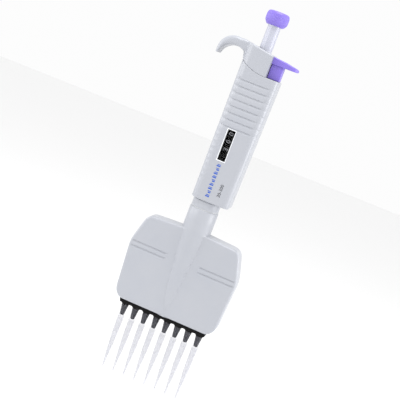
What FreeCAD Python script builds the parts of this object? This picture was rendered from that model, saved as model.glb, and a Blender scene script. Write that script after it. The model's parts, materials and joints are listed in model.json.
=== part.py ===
import FreeCAD, Part
import Sketcher
import math
import os
import re

os.makedirs("parts", exist_ok=True)
doc = FreeCAD.newDocument("MultichannelPipette")
sheet = doc.addObject("Spreadsheet::Sheet", "Sizes")

# An eight-channel air-displacement pipette with its tips on. Z runs up the tool from the
# tip orifices, X along the row of tips with the finger hook at -X, and the window faces -Y.
# All heights are Z values, in millimetres.
sizes = {
    # row of channels
    "channels": 8,
    "pitch": 9,
    # disposable tip
    "tipTop": 54.3,
    "tipCollarFoot": 43.6,
    "tipCollarRadius": 3.5,
    "tipBodyRadius": 2.8,
    "tipOrificeRadius": 0.4,
    "tipEndRadius": 0.95,
    # nozzle, a cone in the tip and a straight stub above it
    "nozzleFoot": 45.3,
    "nozzleEndRadius": 1.65,
    "nozzleRadius": 2.75,
    "nozzleBoreRadius": 0.8,
    "tipFit": 0.06,
    # ejector comb
    "combCollarFoot": 54.5,
    "combFoot": 56,
    "combTop": 58.8,
    "combHalfLength": 36.5,
    "combHalfDepth": 5.2,
    "combHoleRadius": 3,
    "ejectTravel": 10,
    # lower module
    "moduleFoot": 59,
    "moduleTop": 129.5,
    "moduleWaist": 105,
    "moduleCorner": 64,
    "moduleShoulder": 126,
    "moduleFootHalf": 37,
    "moduleCornerHalf": 42,
    "moduleWaistHalf": 44.4,
    "moduleShoulderHalf": 38.5,
    "moduleTopHalf": 35,
    "moduleHalfDepth": 7.75,
    "moduleWall": 1.8,
    "moduleEdge": 1.5,
    "bulgeFoot": 65,
    "moduleGroove": 1.2,
    "moduleGrooveDepth": 0.7,
    "moduleGrooveLow": 101.5,
    "moduleGrooveHigh": 105.4,
    # cylinder block, pistons and yoke
    "blockFoot": 61,
    "boreFoot": 66,
    "blockTop": 88,
    "blockHalfLength": 35.1,
    "blockHalfDepth": 5.9,
    "boreRadius": 2.85,
    "pistonRadius": 2.75,
    "pistonFoot": 82,
    "sealTop": 89.2,
    "sealRadius": 3.6,
    "sealPlateTop": 90.4,
    "yokeFoot": 106.5,
    "yokeTop": 111,
    "yokeHalfLength": 34.4,
    "yokeHalfDepth": 3.8,
    "guideRadius": 1,
    "guideSpread": 18,
    "rodRadius": 3,
    "rodSplit": 150.4,
    # ejector train in the module
    "crossbarFoot": 121.5,
    "crossbarTop": 125,
    "bladeThickness": 1,
    "bladeHalfDepth": 3,
    "crossbarHalfLength": 36.4,
    "ejectorSleeveRadius": 5,
    "rodClearRadius": 3.6,
    "ejectorSleeveTop": 167.9,
    # swivel between the neck and the handle
    "neckRadius": 11.3,
    "neckBoreRadius": 8.5,
    "neckSpigotFoot": 126,
    "neckSpigotRadius": 9.2,
    "neckTop": 147.7,
    "neckLip": 145.1,
    "bushingRadius": 6.5,
    "bushingBoreRadius": 5.2,
    "bushingFoot": 141,
    "swivelNutRadius": 8.3,
    "washerFoot": 147.8,
    "washerTop": 148.2,
    # handle
    "handleFoot": 155,
    "handleFloor": 157.5,
    "handleHalfDepth": 12,
    "handleLeftFoot": -12,
    "handleLeftTop": -12.5,
    "handleRightFoot": 17.8,
    "handleRightTop": 19.3,
    "leftCorner": 6,
    "rightCorner": 4.5,
    "chamberRadius": 10,
    "pocketFoot": 256,
    "pocketLeft": 8,
    "seamX": 9,
    "seamZ": 293,
    "seamRadius": 37,
    "grooveFoot": 212.6,
    "groovePitch": 5.1,
    "grooveCount": 8,
    "grooveWidth": 1.2,
    "grooveDepth": 0.7,
    # finger hook
    "capTopLeft": 276.6,
    "capTopRight": 272.6,
    "hookHalfDepth": 8,
    "hookX": -21.5,
    "hookZ": 264.4,
    "hookRadius": 12.6,
    "archX": -20.7,
    "archZ": 258.3,
    "archRadius": 11.8,
    "hookTip": 261.8,
    # counter behind the window
    "windowFoot": 187.5,
    "windowTop": 211.5,
    "windowHalf": 3.05,
    "frameBorder": 0.8,
    "drumRadius": 9.3,
    "drumBoreRadius": 5.95,
    "drumPitch": 6,
    "drumGap": 0.3,
    # volume adjuster and plunger
    "sleeveFoot": 184,
    "sleeveNarrowRadius": 5.8,
    "sleeveShoulder": 216,
    "springFoot": 218,
    "sleeveTop": 252,
    "sleeveRadius": 8.5,
    "sleeveBoreRadius": 7.5,
    "sleeveHoleRadius": 3.3,
    "guideTubeRadius": 6.3,
    "guideTubeTop": 266,
    "stemRadius": 4.95,
    "stemClear": 0.1,
    "stemFlangeFoot": 248.5,
    "stemFlangeRadius": 7.2,
    "buttonFoot": 293,
    "buttonTop": 303.5,
    "buttonRadius": 8.7,
    "stopRingTop": 235.8,
    "stopRingThickness": 2.4,
    "stopRingRadius": 5.9,
    # ejector knob and rod
    "ejectorX": 13.9,
    "ejectorRodRadius": 1.8,
    "ejectorRodTop": 262,
    "ejectorSeat": 200,
    "ejectorCollarFoot": 240,
    "ejectorChannelRadius": 3,
    "forkFoot": 168,
    "forkTop": 171,
    "knobHalfDepth": 6.5,
    "knobLeft": 8.6,
    "knobBlockLeft": 9.2,
    "knobBlockRight": 18.2,
    "knobShelf": 266.9,
}
for row, (alias, size) in enumerate(sizes.items(), start=1):
    sheet.set(f"A{row}", alias)
    sheet.set(f"B{row}", str(size))
    sheet.setAlias(f"B{row}", alias)
doc.recompute()

pieces = []


def bound(formula):
    """Turn a formula in the sheet's names into a document expression."""
    return re.sub(r"[A-Za-z]+", lambda word: f"Sizes.{word[0]}" if word[0] in sizes else word[0], formula)


def newBody(label):
    body = doc.addObject("PartDesign::Body", label)
    pieces.append(body)
    return body


def drawPolygon(drawing, corners):
    """Closed outline. Each corner is held from the sketch's origin by two formulas."""
    first = drawing.GeometryCount
    count = len(corners)
    turn = 2 * math.pi / count
    starts = [FreeCAD.Vector(math.cos(i * turn), math.sin(i * turn), 0) for i in range(count)]
    for i in range(count):
        drawing.addGeometry(Part.LineSegment(starts[i], starts[(i + 1) % count]), False)
    for i in range(count):
        after = first + (i + 1) % count
        drawing.addConstraint(Sketcher.Constraint("Coincident", first + i, 2, after, 1))
    for i, corner in enumerate(corners):
        for kind, start, formula in zip(("DistanceX", "DistanceY"), starts[i], corner):
            held = drawing.addConstraint(Sketcher.Constraint(kind, -1, 1, first + i, 1, start))
            drawing.setExpression(f"Constraints[{held}]", bound(formula))


def drawCircle(drawing, across, up, radius):
    centre = FreeCAD.Vector(1, 1, 0)
    circle = drawing.addGeometry(Part.Circle(centre, FreeCAD.Vector(0, 0, 1), 1), False)
    for kind, formula in (("DistanceX", across), ("DistanceY", up)):
        held = drawing.addConstraint(Sketcher.Constraint(kind, -1, 1, circle, 3, 1))
        drawing.setExpression(f"Constraints[{held}]", bound(formula))
    held = drawing.addConstraint(Sketcher.Constraint("Radius", circle, 1))
    drawing.setExpression(f"Constraints[{held}]", bound(radius))


def sketch(body, plane, outlines, offset="0"):
    """Sketch on an origin plane. Three strings are a circle; anything else is a polygon."""
    drawing = body.newObject("Sketcher::SketchObject", f"{body.Label}_sketch")
    support = [feature for feature in body.Origin.OriginFeatures if feature.Role == plane]
    drawing.AttachmentSupport = [(support[0], "")]
    drawing.MapMode = "FlatFace"
    drawing.setExpression("AttachmentOffset.Base.z", bound(offset))
    for outline in outlines:
        if isinstance(outline[0], str):
            drawCircle(drawing, *outline)
        else:
            drawPolygon(drawing, outline)
    return drawing


def extrude(kind, body, drawing, length, both=False, flipped=False):
    feature = body.newObject(f"PartDesign::{kind}", f"{body.Label}_{kind.lower()}")
    feature.Profile = drawing
    feature.setExpression("Length", bound(length))
    feature.Midplane = both
    feature.Reversed = flipped
    drawing.Visibility = False
    return feature


def pad(body, drawing, length, **options):
    return extrude("Pad", body, drawing, length, **options)


def pocket(body, drawing, length, **options):
    return extrude("Pocket", body, drawing, length, **options)


def turn(body, profile, kind="Revolution"):
    """Revolve a profile of (radius, height) formulas about the body's Z axis."""
    drawing = sketch(body, "XZ_Plane", [profile])
    feature = body.newObject(f"PartDesign::{kind}", f"{body.Label}_{kind.lower()}")
    feature.Profile = drawing
    feature.ReferenceAxis = (drawing, ["V_Axis"])
    feature.Angle = 360
    return feature


def ring(outer, inner, foot, top):
    return [(inner, foot), (outer, foot), (outer, top), (inner, top)]


def rectangle(left, right, low, high):
    return [(left, low), (right, low), (right, high), (left, high)]


def roundOff(body, radius, wanted):
    """Fillet every edge of the body's last feature that the test picks."""
    doc.recompute()
    edges = body.Tip.Shape.Edges
    names = [f"Edge{i}" for i, edge in enumerate(edges, start=1) if wanted(edge)]
    base = body.Tip
    fillet = body.newObject("PartDesign::Fillet", f"{body.Label}_fillet")
    fillet.Base = (base, names)
    fillet.setExpression("Radius", bound(radius))
    return fillet


def boxOf(edge):
    return edge.BoundBox


# ---- tips and nozzles ----

def tip(channel):
    """Moulded tip: a long cone under a wider collar, whose mouth grips the top of the nozzle."""
    body = newBody(f"tip_{channel + 1}")
    turn(body, [
        ("tipOrificeRadius", "0"),
        ("tipEndRadius", "0"),
        ("1.35", "9"),
        ("1.75", "13"),
        ("2.5", "25"),
        ("tipBodyRadius", "tipCollarFoot - 0.6"),
        ("tipCollarRadius - 0.1", "tipCollarFoot"),
        ("tipCollarRadius", "tipTop"),
        ("nozzleRadius + tipFit", "tipTop"),
        ("2.3", "tipCollarFoot"),
        ("1.95", "25"),
        ("1.3", "13"),
        ("0.9", "9"),
    ])
    placeOnRow(body, channel)


def nozzle(channel):
    """Nozzle with a tip cone, held by its stub in the cylinder block."""
    body = newBody(f"nozzle_{channel + 1}")
    turn(body, [
        ("nozzleBoreRadius", "nozzleFoot"),
        ("nozzleEndRadius", "nozzleFoot"),
        ("nozzleRadius", "tipTop"),
        ("nozzleRadius", "boreFoot"),
        ("nozzleBoreRadius", "boreFoot"),
    ])
    placeOnRow(body, channel)


def placeOnRow(body, channel):
    body.setExpression("Placement.Base.x", bound(f"({channel} - (channels - 1) / 2) * pitch"))


def rowOfCircles(radius, up="0"):
    """One circle per channel, for holes cut in a single feature."""
    return [(f"({i} - (channels - 1) / 2) * pitch", up, radius) for i in range(sizes["channels"])]


# ---- ejector comb and its train ----

def ejectorComb():
    body = newBody("ejector_comb")
    strip = rectangle("-combHalfLength", "combHalfLength", "-combHalfDepth", "combHalfDepth")
    pad(body, sketch(body, "XY_Plane", [strip], "combFoot"), "combTop - combFoot")
    collars = sketch(body, "XY_Plane", rowOfCircles("tipCollarRadius"), "combCollarFoot")
    pad(body, collars, "combFoot - combCollarFoot")
    holes = sketch(body, "XY_Plane", rowOfCircles("combHoleRadius"), "combTop")
    pocket(body, holes, "combTop - combCollarFoot")


def ejectorBlades():
    """Two flat legs that carry the crossbar's push down to the ends of the comb."""
    body = newBody("ejector_blades")
    inner = "crossbarHalfLength - bladeThickness"
    legs = [
        rectangle(inner, "crossbarHalfLength", "-bladeHalfDepth", "bladeHalfDepth"),
        rectangle("-crossbarHalfLength", f"-({inner})", "-bladeHalfDepth", "bladeHalfDepth"),
    ]
    pad(body, sketch(body, "XY_Plane", legs, "combTop"), "crossbarFoot - combTop")


def ejectorCrossbar():
    body = newBody("ejector_crossbar")
    bar = rectangle("-crossbarHalfLength", "crossbarHalfLength", "-bladeHalfDepth", "bladeHalfDepth")
    pad(body, sketch(body, "XY_Plane", [bar], "crossbarFoot"), "crossbarTop - crossbarFoot")
    hub = sketch(body, "XY_Plane", [("0", "0", "ejectorSleeveRadius")], "crossbarFoot")
    pad(body, hub, "crossbarTop - crossbarFoot")
    hole = sketch(body, "XY_Plane", [("0", "0", "rodClearRadius")], "crossbarTop")
    pocket(body, hole, "crossbarTop - crossbarFoot")


def ejectorSleeve():
    body = newBody("ejector_sleeve")
    turn(body, ring("ejectorSleeveRadius", "rodClearRadius", "crossbarTop", "ejectorSleeveTop"))


# ---- lower module ----

def moduleOutline(inset):
    """Six-sided front view, wider at the waist, drawn at an inset from the outer skin."""
    right = [
        ("moduleFootHalf - 0.1 * inset", "moduleFoot + inset"),
        ("moduleCornerHalf - inset", "moduleCorner + 0.2 * inset"),
        ("moduleWaistHalf - inset", "moduleWaist"),
        ("moduleShoulderHalf - 0.9 * inset", "moduleShoulder - 0.5 * inset"),
        ("moduleTopHalf - 0.4 * inset", "moduleTop - inset"),
    ]
    left = [(f"-({across})", up) for across, up in reversed(right)]
    return [(across.replace("inset", inset), up.replace("inset", inset)) for across, up in right + left]


def moduleShell(label, front):
    """Half of the module's casing, split on the plane of the channels."""
    body = newBody(label)
    pad(body, sketch(body, "XZ_Plane", [moduleOutline("0")]), "2 * moduleHalfDepth", both=True)
    roundOff(body, "moduleEdge", lambda edge: boxOf(edge).YLength < 0.01)
    turn(body, [
        ("0", "bulgeFoot"),
        ("moduleHalfDepth", "bulgeFoot"),
        ("neckRadius", "moduleTop"),
        ("0", "moduleTop"),
    ])
    hollow = sketch(body, "XZ_Plane", [moduleOutline("moduleWall")])
    pocket(body, hollow, "2 * (moduleHalfDepth - moduleWall)", both=True)
    turn(body, [
        ("0", "bulgeFoot + moduleWall"),
        ("moduleHalfDepth - moduleWall", "bulgeFoot + moduleWall"),
        ("neckRadius - moduleWall", "moduleTop - moduleWall"),
        ("neckSpigotRadius", "moduleTop - moduleWall"),
        ("neckSpigotRadius", "moduleTop + 1"),
        ("0", "moduleTop + 1"),
    ], kind="Groove")
    grooves = []
    for height in ("moduleGrooveLow", "moduleGrooveHigh"):
        low, high = f"{height} - moduleGroove / 2", f"{height} + moduleGroove / 2"
        grooves.append(rectangle("13", "42", low, high))
        grooves.append(rectangle("-42", "-13", low, high))
    side = "moduleHalfDepth" if front else "-moduleHalfDepth"
    pocket(body, sketch(body, "XZ_Plane", grooves, side), "moduleGrooveDepth", flipped=not front)
    slot = ("crossbarHalfLength - bladeThickness - 0.2", "crossbarHalfLength + 0.2")
    floor = rowOfCircles("combHoleRadius")
    floor.append(rectangle(*slot, "-bladeHalfDepth - 0.2", "bladeHalfDepth + 0.2"))
    floor.append(rectangle(f"-({slot[1]})", f"-({slot[0]})", "-bladeHalfDepth - 0.2", "bladeHalfDepth + 0.2"))
    pocket(body, sketch(body, "XY_Plane", floor, "blockFoot"), "blockFoot - moduleFoot")
    if not front:
        screws = sketch(body, "XZ_Plane", screwCircles("1.7"), "-moduleHalfDepth")
        pocket(body, screws, "moduleWall", flipped=True)
    other = rectangle("-60", "60", "moduleFoot - 10", "moduleTop + 10")
    pocket(body, sketch(body, "XZ_Plane", [other]), "30", flipped=not front)


def screwCircles(radius):
    return [(across, up, radius) for across in ("-30", "30") for up in ("96", "116")]


def moduleScrews():
    """Four short screws in the back half of the casing."""
    body = newBody("module_screws")
    heads = sketch(body, "XZ_Plane", screwCircles("1.65"), "moduleWall - moduleHalfDepth")
    pad(body, heads, "moduleWall - 0.1", flipped=True)


def neckTube():
    body = newBody("neck_tube")
    turn(body, [
        ("neckBoreRadius", "neckSpigotFoot"),
        ("neckSpigotRadius", "neckSpigotFoot"),
        ("neckSpigotRadius", "moduleTop"),
        ("neckRadius", "moduleTop"),
        ("neckRadius", "neckTop"),
        ("bushingRadius + 0.1", "neckTop"),
        ("bushingRadius + 0.1", "neckLip"),
        ("neckBoreRadius", "neckLip"),
    ])


def cylinderBlock():
    body = newBody("cylinder_block")
    block = rectangle("-blockHalfLength", "blockHalfLength", "-blockHalfDepth", "blockHalfDepth")
    pad(body, sketch(body, "XY_Plane", [block], "blockFoot"), "blockTop - blockFoot")
    bores = sketch(body, "XY_Plane", rowOfCircles("boreRadius"), "blockTop")
    pocket(body, bores, "blockTop - boreFoot")
    sockets = sketch(body, "XY_Plane", rowOfCircles("nozzleRadius"), "boreFoot")
    pocket(body, sockets, "boreFoot - blockFoot")


def pistonSeals():
    body = newBody("piston_seals")
    pad(body, sketch(body, "XY_Plane", rowOfCircles("sealRadius"), "blockTop"), "sealTop - blockTop")
    holes = sketch(body, "XY_Plane", rowOfCircles("pistonRadius + 0.05"), "sealTop")
    pocket(body, holes, "sealTop - blockTop")


def sealPlate():
    body = newBody("seal_plate")
    plate = rectangle("-blockHalfLength", "blockHalfLength", "-blockHalfDepth", "blockHalfDepth")
    pad(body, sketch(body, "XY_Plane", [plate], "sealTop"), "sealPlateTop - sealTop")
    holes = sketch(body, "XY_Plane", rowOfCircles("boreRadius + 0.1"), "sealPlateTop")
    pocket(body, holes, "sealPlateTop - sealTop")


def yokeGuides():
    """Two pins that keep the yoke square, standing between the pistons."""
    body = newBody("yoke_guides")
    pins = [("-guideSpread", "0", "guideRadius"), ("guideSpread", "0", "guideRadius")]
    pad(body, sketch(body, "XY_Plane", pins, "sealPlateTop"), "yokeTop + 0.3 - sealPlateTop")


def pistons():
    body = newBody("pistons")
    pad(body, sketch(body, "XY_Plane", rowOfCircles("pistonRadius"), "pistonFoot"), "yokeFoot - pistonFoot")


def pistonYoke():
    body = newBody("piston_yoke")
    plate = rectangle("-yokeHalfLength", "yokeHalfLength", "-yokeHalfDepth", "yokeHalfDepth")
    pad(body, sketch(body, "XY_Plane", [plate], "yokeFoot"), "yokeTop - yokeFoot")
    clear = "guideRadius + 0.1"
    holes = [("-guideSpread", "0", clear), ("guideSpread", "0", clear)]
    pocket(body, sketch(body, "XY_Plane", holes, "yokeTop"), "yokeTop - yokeFoot")


def yokeStem():
    body = newBody("yoke_stem")
    turn(body, rod("rodRadius", "yokeTop", "rodSplit - 0.1"))


def rod(radius, foot, top):
    return [("0", foot), (radius, foot), (radius, top), ("0", top)]


# ---- swivel ----

def lowerBushing():
    """Tube fixed in the handle's floor; the ejector sleeve slides through it."""
    body = newBody("lower_bushing")
    turn(body, [
        ("bushingBoreRadius", "bushingFoot"),
        ("bushingRadius", "bushingFoot"),
        ("bushingRadius", "handleFloor - 1.3"),
        ("bushingRadius + 1.5", "handleFloor - 1.3"),
        ("bushingRadius + 1.5", "handleFloor"),
        ("bushingBoreRadius", "handleFloor"),
    ])


def swivelNut():
    body = newBody("swivel_nut")
    turn(body, ring("swivelNutRadius", "bushingRadius", "bushingFoot + 0.5", "neckLip - 0.1"))


def swivelWasher():
    body = newBody("swivel_washer")
    turn(body, ring("neckRadius - 0.7", "bushingRadius", "washerFoot", "washerTop"))


def couplingRing():
    body = newBody("coupling_ring")
    turn(body, ring("neckRadius", "bushingRadius", "washerTop", "handleFoot"))


# ---- handle ----

def roundedOutline(left, right, half, leftRadius, rightRadius):
    """Rectangle about y = 0 with each corner as an arc of four points."""
    outline = []
    corners = [(right, rightRadius, 1, -1), (right, rightRadius, 1, 1), (left, leftRadius, -1, 1), (left, leftRadius, -1, -1)]
    for side, radius, signX, signY in corners:
        start = {(1, -1): 270, (1, 1): 0, (-1, 1): 90, (-1, -1): 180}[signX, signY]
        for step in range(4):
            angle = math.radians(start + 30 * step)
            across = f"({side}) - {signX} * ({radius}) + ({radius}) * {math.cos(angle):.4f}"
            deep = f"{signY} * (({half}) - ({radius})) + ({radius}) * {math.sin(angle):.4f}"
            outline.append((across, deep))
    return outline


def handleBody():
    """Moulded grip: one tapered block with a counter chamber and an ejector channel."""
    body = newBody("handle_body")
    front = [
        ("handleLeftFoot", "handleFoot"),
        ("handleRightFoot", "handleFoot"),
        ("handleRightTop", "pocketFoot"),
        ("pocketLeft", "pocketFoot"),
        ("pocketLeft", "pocketFoot + 10"),
        ("handleLeftTop", "pocketFoot + 10"),
    ]
    pad(body, sketch(body, "XZ_Plane", [front]), "2 * handleHalfDepth", both=True)
    long = sizes["pocketFoot"] - sizes["handleFoot"] - 1
    roundOff(body, "leftCorner", lambda edge: boxOf(edge).ZLength > long and boxOf(edge).XMax < 0)
    roundOff(body, "rightCorner", lambda edge: boxOf(edge).ZLength > long and boxOf(edge).XMin > sizes["pocketLeft"])
    seam = sketch(body, "XZ_Plane", [("seamX", "seamZ", "seamRadius")])
    pocket(body, seam, "4 * handleHalfDepth", both=True)
    carveChamber(body)
    carveEjectorWay(body)
    carveWindow(body)
    carveGrip(body)
    hole = sketch(body, "YZ_Plane", [("0", "forkFoot - 4", "1.2")], "handleRightTop")
    pocket(body, hole, "handleRightTop - 16.9")


def carveChamber(body):
    upward = {"flipped": True}
    chamber = sketch(body, "XY_Plane", [("0", "0", "chamberRadius")], "handleFloor")
    pocket(body, chamber, "guideTubeTop - handleFloor", **upward)
    hole = sketch(body, "XY_Plane", [("0", "0", "bushingRadius")], "handleFoot")
    pocket(body, hole, "handleFloor - handleFoot", **upward)
    recess = sketch(body, "XY_Plane", [("0", "0", "bushingRadius + 1.5")], "handleFloor")
    pocket(body, recess, "1.3")


def carveEjectorWay(body):
    upward = {"flipped": True}
    fork = rectangle("-9", "16.8", "-5", "5")
    pocket(body, sketch(body, "XY_Plane", [fork], "handleFloor"), "forkTop + 1.5 - handleFloor", **upward)
    narrow = sketch(body, "XY_Plane", [("ejectorX", "0", "ejectorRodRadius + 0.2")], "forkTop")
    pocket(body, narrow, "ejectorSeat - forkTop", **upward)
    wide = sketch(body, "XY_Plane", [("ejectorX", "0", "ejectorChannelRadius")], "ejectorSeat")
    pocket(body, wide, "pocketFoot - ejectorSeat", **upward)
    deep = "knobHalfDepth + 0.3"
    well = rectangle("knobBlockLeft - 0.25", "knobBlockRight + 0.25", f"-({deep})", deep)
    pocket(body, sketch(body, "XY_Plane", [well], "pocketFoot"), "ejectTravel + 0.5")


def carveWindow(body):
    border = "windowHalf + frameBorder"
    rebate = rectangle(f"-({border})", border, "windowFoot - frameBorder", "windowTop + frameBorder")
    pocket(body, sketch(body, "XZ_Plane", [rebate], "handleHalfDepth"), "1")
    opening = rectangle("-windowHalf", "windowHalf", "windowFoot", "windowTop")
    pocket(body, sketch(body, "XZ_Plane", [opening], "handleHalfDepth"), "4")


def carveGrip(body):
    """Shallow grooves that run right round the handle, one above the other."""
    inner = roundedOutline("handleLeftTop + grooveDepth", "handleRightTop - 0.55",
                           "handleHalfDepth - grooveDepth", "leftCorner", "rightCorner")
    outer = rectangle("-40", "40", "-40", "40")
    grooves = sketch(body, "XY_Plane", [outer, inner], "grooveFoot + grooveWidth / 2")
    first = pocket(body, grooves, "grooveWidth")
    pattern = body.newObject("PartDesign::LinearPattern", "grip_grooves")
    pattern.Originals = [first]
    pattern.Direction = (grooves, ["N_Axis"])
    pattern.setExpression("Length", bound("(grooveCount - 1) * groovePitch"))
    pattern.setExpression("Occurrences", bound("grooveCount"))
    body.Tip = pattern


def hookCap():
    """Top of the handle, parted from it on a curved seam, with the finger hook."""
    body = doc.addObject("PartDesign::Body", "cap_block")
    front = [
        ("handleLeftTop", "pocketFoot - 1"),
        ("pocketLeft", "pocketFoot - 1"),
        ("pocketLeft", "capTopRight"),
        ("handleLeftTop", "capTopLeft"),
    ]
    pad(body, sketch(body, "XZ_Plane", [front]), "2 * handleHalfDepth", both=True)
    roundOff(body, "leftCorner", lambda edge: boxOf(edge).ZLength > 10 and boxOf(edge).XMax < 0)
    roundOff(body, "moduleEdge", lambda edge: boxOf(edge).ZMin > sizes["capTopRight"] - 0.1)
    bore = sketch(body, "XY_Plane", [("0", "0", "guideTubeRadius + 0.4")], "capTopLeft + 1")
    pocket(body, bore, "capTopLeft + 2 - pocketFoot")
    disc = cylinderAlongY("seam_disc", "seamX", "seamZ", "seamRadius - 0.1", "2 * handleHalfDepth")
    above = join("Part::Common", "cap_above_seam", body, disc)
    crown = cylinderAlongY("hook_crown", "hookX", "hookZ", "hookRadius", "hookHalfDepth")
    root = box("hook_root", "hookX", "-hookHalfDepth", "hookZ")
    root.setExpression("Length", bound("handleLeftTop + 5 - hookX"))
    root.setExpression("Width", bound("2 * hookHalfDepth"))
    root.setExpression("Height", bound("capTopLeft - 0.3 - hookZ"))
    arch = cylinderAlongY("hook_arch", "archX", "archZ", "archRadius", "hookHalfDepth + 2")
    trim = box("hook_trim", "hookX - hookRadius - 1", "-hookHalfDepth - 2", "hookTip - 20")
    trim.setExpression("Length", bound("archX + archRadius - hookX + hookRadius"))
    trim.setExpression("Width", bound("2 * hookHalfDepth + 4"))
    trim.Height = 20
    hook = join("Part::Fuse", "hook_solid", crown, root)
    hook = join("Part::Cut", "hook_arched", hook, arch)
    hook = join("Part::Cut", "hook_trimmed", hook, trim)
    pieces.append(join("Part::Fuse", "hook_cap", above, hook))


def join(kind, label, base, tool):
    result = doc.addObject(kind, label)
    result.Base = base
    result.Tool = tool
    return result


def box(label, across, deep, up):
    corner = doc.addObject("Part::Box", label)
    corner.setExpression("Placement.Base.x", bound(across))
    corner.setExpression("Placement.Base.y", bound(deep))
    corner.setExpression("Placement.Base.z", bound(up))
    return corner


def cylinderAlongY(label, across, up, radius, half):
    """Cylinder that lies along Y, centred on the XZ plane."""
    cylinder = doc.addObject("Part::Cylinder", label)
    tipped = FreeCAD.Rotation(FreeCAD.Vector(1, 0, 0), 90)
    cylinder.Placement = FreeCAD.Placement(FreeCAD.Vector(), tipped)
    cylinder.setExpression("Placement.Base.x", bound(across))
    cylinder.setExpression("Placement.Base.y", bound(half))
    cylinder.setExpression("Placement.Base.z", bound(up))
    cylinder.setExpression("Radius", bound(radius))
    cylinder.setExpression("Height", bound(f"2 * ({half})"))
    return cylinder


def topBushing():
    body = newBody("top_bushing")
    turn(body, ring("guideTubeRadius + 0.4", "stemRadius + stemClear", "guideTubeTop + 2", "capTopRight + 0.2"))


def sideScrew():
    """Small screw in the right wall that keeps the lower bushing from turning."""
    body = newBody("side_screw")
    head = sketch(body, "YZ_Plane", [("0", "forkFoot - 4", "1.15")], "16.9")
    pad(body, head, "1")


# ---- counter ----

def windowFrame():
    body = newBody("window_frame")
    border = "windowHalf + frameBorder"
    outer = rectangle(f"-({border})", border, "windowFoot - frameBorder", "windowTop + frameBorder")
    inner = rectangle("-windowHalf", "windowHalf", "windowFoot", "windowTop")
    pad(body, sketch(body, "XZ_Plane", [outer, inner], "handleHalfDepth - 1"), "1.15")


def windowLens():
    body = newBody("window_lens")
    pane = rectangle("0.05 - windowHalf", "windowHalf - 0.05", "windowFoot + 0.05", "windowTop - 0.05")
    pad(body, sketch(body, "XZ_Plane", [pane], "handleHalfDepth - 1.6"), "1.5")


def counterRing(label, cell):
    """One ring of the counter; cell 0 is the blank one at the window's foot."""
    body = newBody(label)
    foot = f"windowFoot + {cell} * drumPitch + drumGap / 2"
    turn(body, ring("drumRadius", "drumBoreRadius", foot, f"{foot} + drumPitch - drumGap"))


def counterPlates():
    """Two thrust rings that hold the stack of number drums in the chamber."""
    body = newBody("counter_plates")
    for foot in ("windowFoot - 2.3", "windowTop + 0.3"):
        outline = [("0", "0", "chamberRadius - 0.05"), ("0", "0", "drumBoreRadius")]
        pad(body, sketch(body, "XY_Plane", [*outline], foot), "2")


def adjusterSleeve():
    """Turns with the button; its thin lower tube carries the number drums."""
    body = newBody("adjuster_sleeve")
    turn(body, [
        ("sleeveHoleRadius", "sleeveFoot"),
        ("sleeveNarrowRadius", "sleeveFoot"),
        ("sleeveNarrowRadius", "sleeveShoulder"),
        ("sleeveRadius", "sleeveShoulder"),
        ("sleeveRadius", "sleeveTop"),
        ("sleeveBoreRadius", "sleeveTop"),
        ("sleeveBoreRadius", "springFoot"),
        ("sleeveHoleRadius", "springFoot"),
    ])


def sleeveCap():
    """Closes the sleeve over the plunger's flange and guides the stem."""
    body = newBody("sleeve_cap")
    turn(body, [
        ("stemRadius + stemClear", "sleeveTop"),
        ("sleeveRadius", "sleeveTop"),
        ("sleeveRadius", "sleeveTop + 2"),
        ("guideTubeRadius", "sleeveTop + 2"),
        ("guideTubeRadius", "guideTubeTop"),
        ("stemRadius + stemClear", "guideTubeTop"),
    ])


def micrometerNut():
    body = newBody("micrometer_nut")
    turn(body, ring("chamberRadius", "sleeveRadius + 0.1", "springFoot + 8", "springFoot + 18"))


# ---- plunger ----

def pushButton():
    body = newBody("push_button")
    turn(body, [
        ("0", "buttonTop - 5.5"),
        ("stemRadius", "buttonTop - 5.5"),
        ("stemRadius", "buttonFoot"),
        ("6.3", "buttonFoot"),
        ("7.6", "buttonFoot + 1.2"),
        ("8.5", "buttonFoot + 3.4"),
        ("buttonRadius", "buttonFoot + 5.6"),
        ("8.5", "buttonTop - 2.3"),
        ("7.9", "buttonTop - 0.9"),
        ("6.9", "buttonTop"),
        ("0", "buttonTop"),
    ])


def plungerStem():
    body = newBody("plunger_stem")
    turn(body, [
        ("0", "stemFlangeFoot"),
        ("stemFlangeRadius", "stemFlangeFoot"),
        ("stemFlangeRadius", "stemFlangeFoot + 1.5"),
        ("stemRadius", "stemFlangeFoot + 1.5"),
        ("stemRadius", "buttonTop - 5.5"),
        ("0", "buttonTop - 5.5"),
    ])


def operatingRod():
    body = newBody("operating_rod")
    turn(body, rod("rodRadius", "rodSplit", "stemFlangeFoot"))


def stopRing():
    """First stop: the flange meets it, then both press the stiff spring for blow-out."""
    body = newBody("stop_ring")
    turn(body, ring("stopRingRadius", "rodRadius + 0.2", "stopRingTop - stopRingThickness", "stopRingTop"))


def spring(label, centre, coilRadius, wireRadius, foot, top, turns):
    """Round wire swept along a helix; foot and top are the heights that the spring fills."""
    helix = doc.addObject("Part::Helix", f"{label}_helix")
    helix.setExpression("Radius", bound(coilRadius))
    helix.setExpression("Height", bound(f"{top} - ({foot}) - 2 * {wireRadius}"))
    helix.setExpression("Pitch", bound(f"({top} - ({foot}) - 2 * {wireRadius}) / {turns}"))
    wire = doc.addObject("Part::Circle", f"{label}_wire")
    wire.Radius = wireRadius
    across = FreeCAD.Rotation(FreeCAD.Vector(1, 0, 0), 90)
    wire.Placement = FreeCAD.Placement(FreeCAD.Vector(), across)
    wire.setExpression("Placement.Base.x", bound(coilRadius))
    coil = doc.addObject("Part::Sweep", label)
    coil.Sections = [wire]
    coil.Spine = (helix, ["Edge1"])
    coil.Solid = True
    coil.Frenet = True
    coil.setExpression("Placement.Base.x", bound(centre))
    coil.setExpression("Placement.Base.z", bound(f"{foot} + {wireRadius}"))
    pieces.append(coil)


# ---- ejector knob and rod ----

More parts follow.
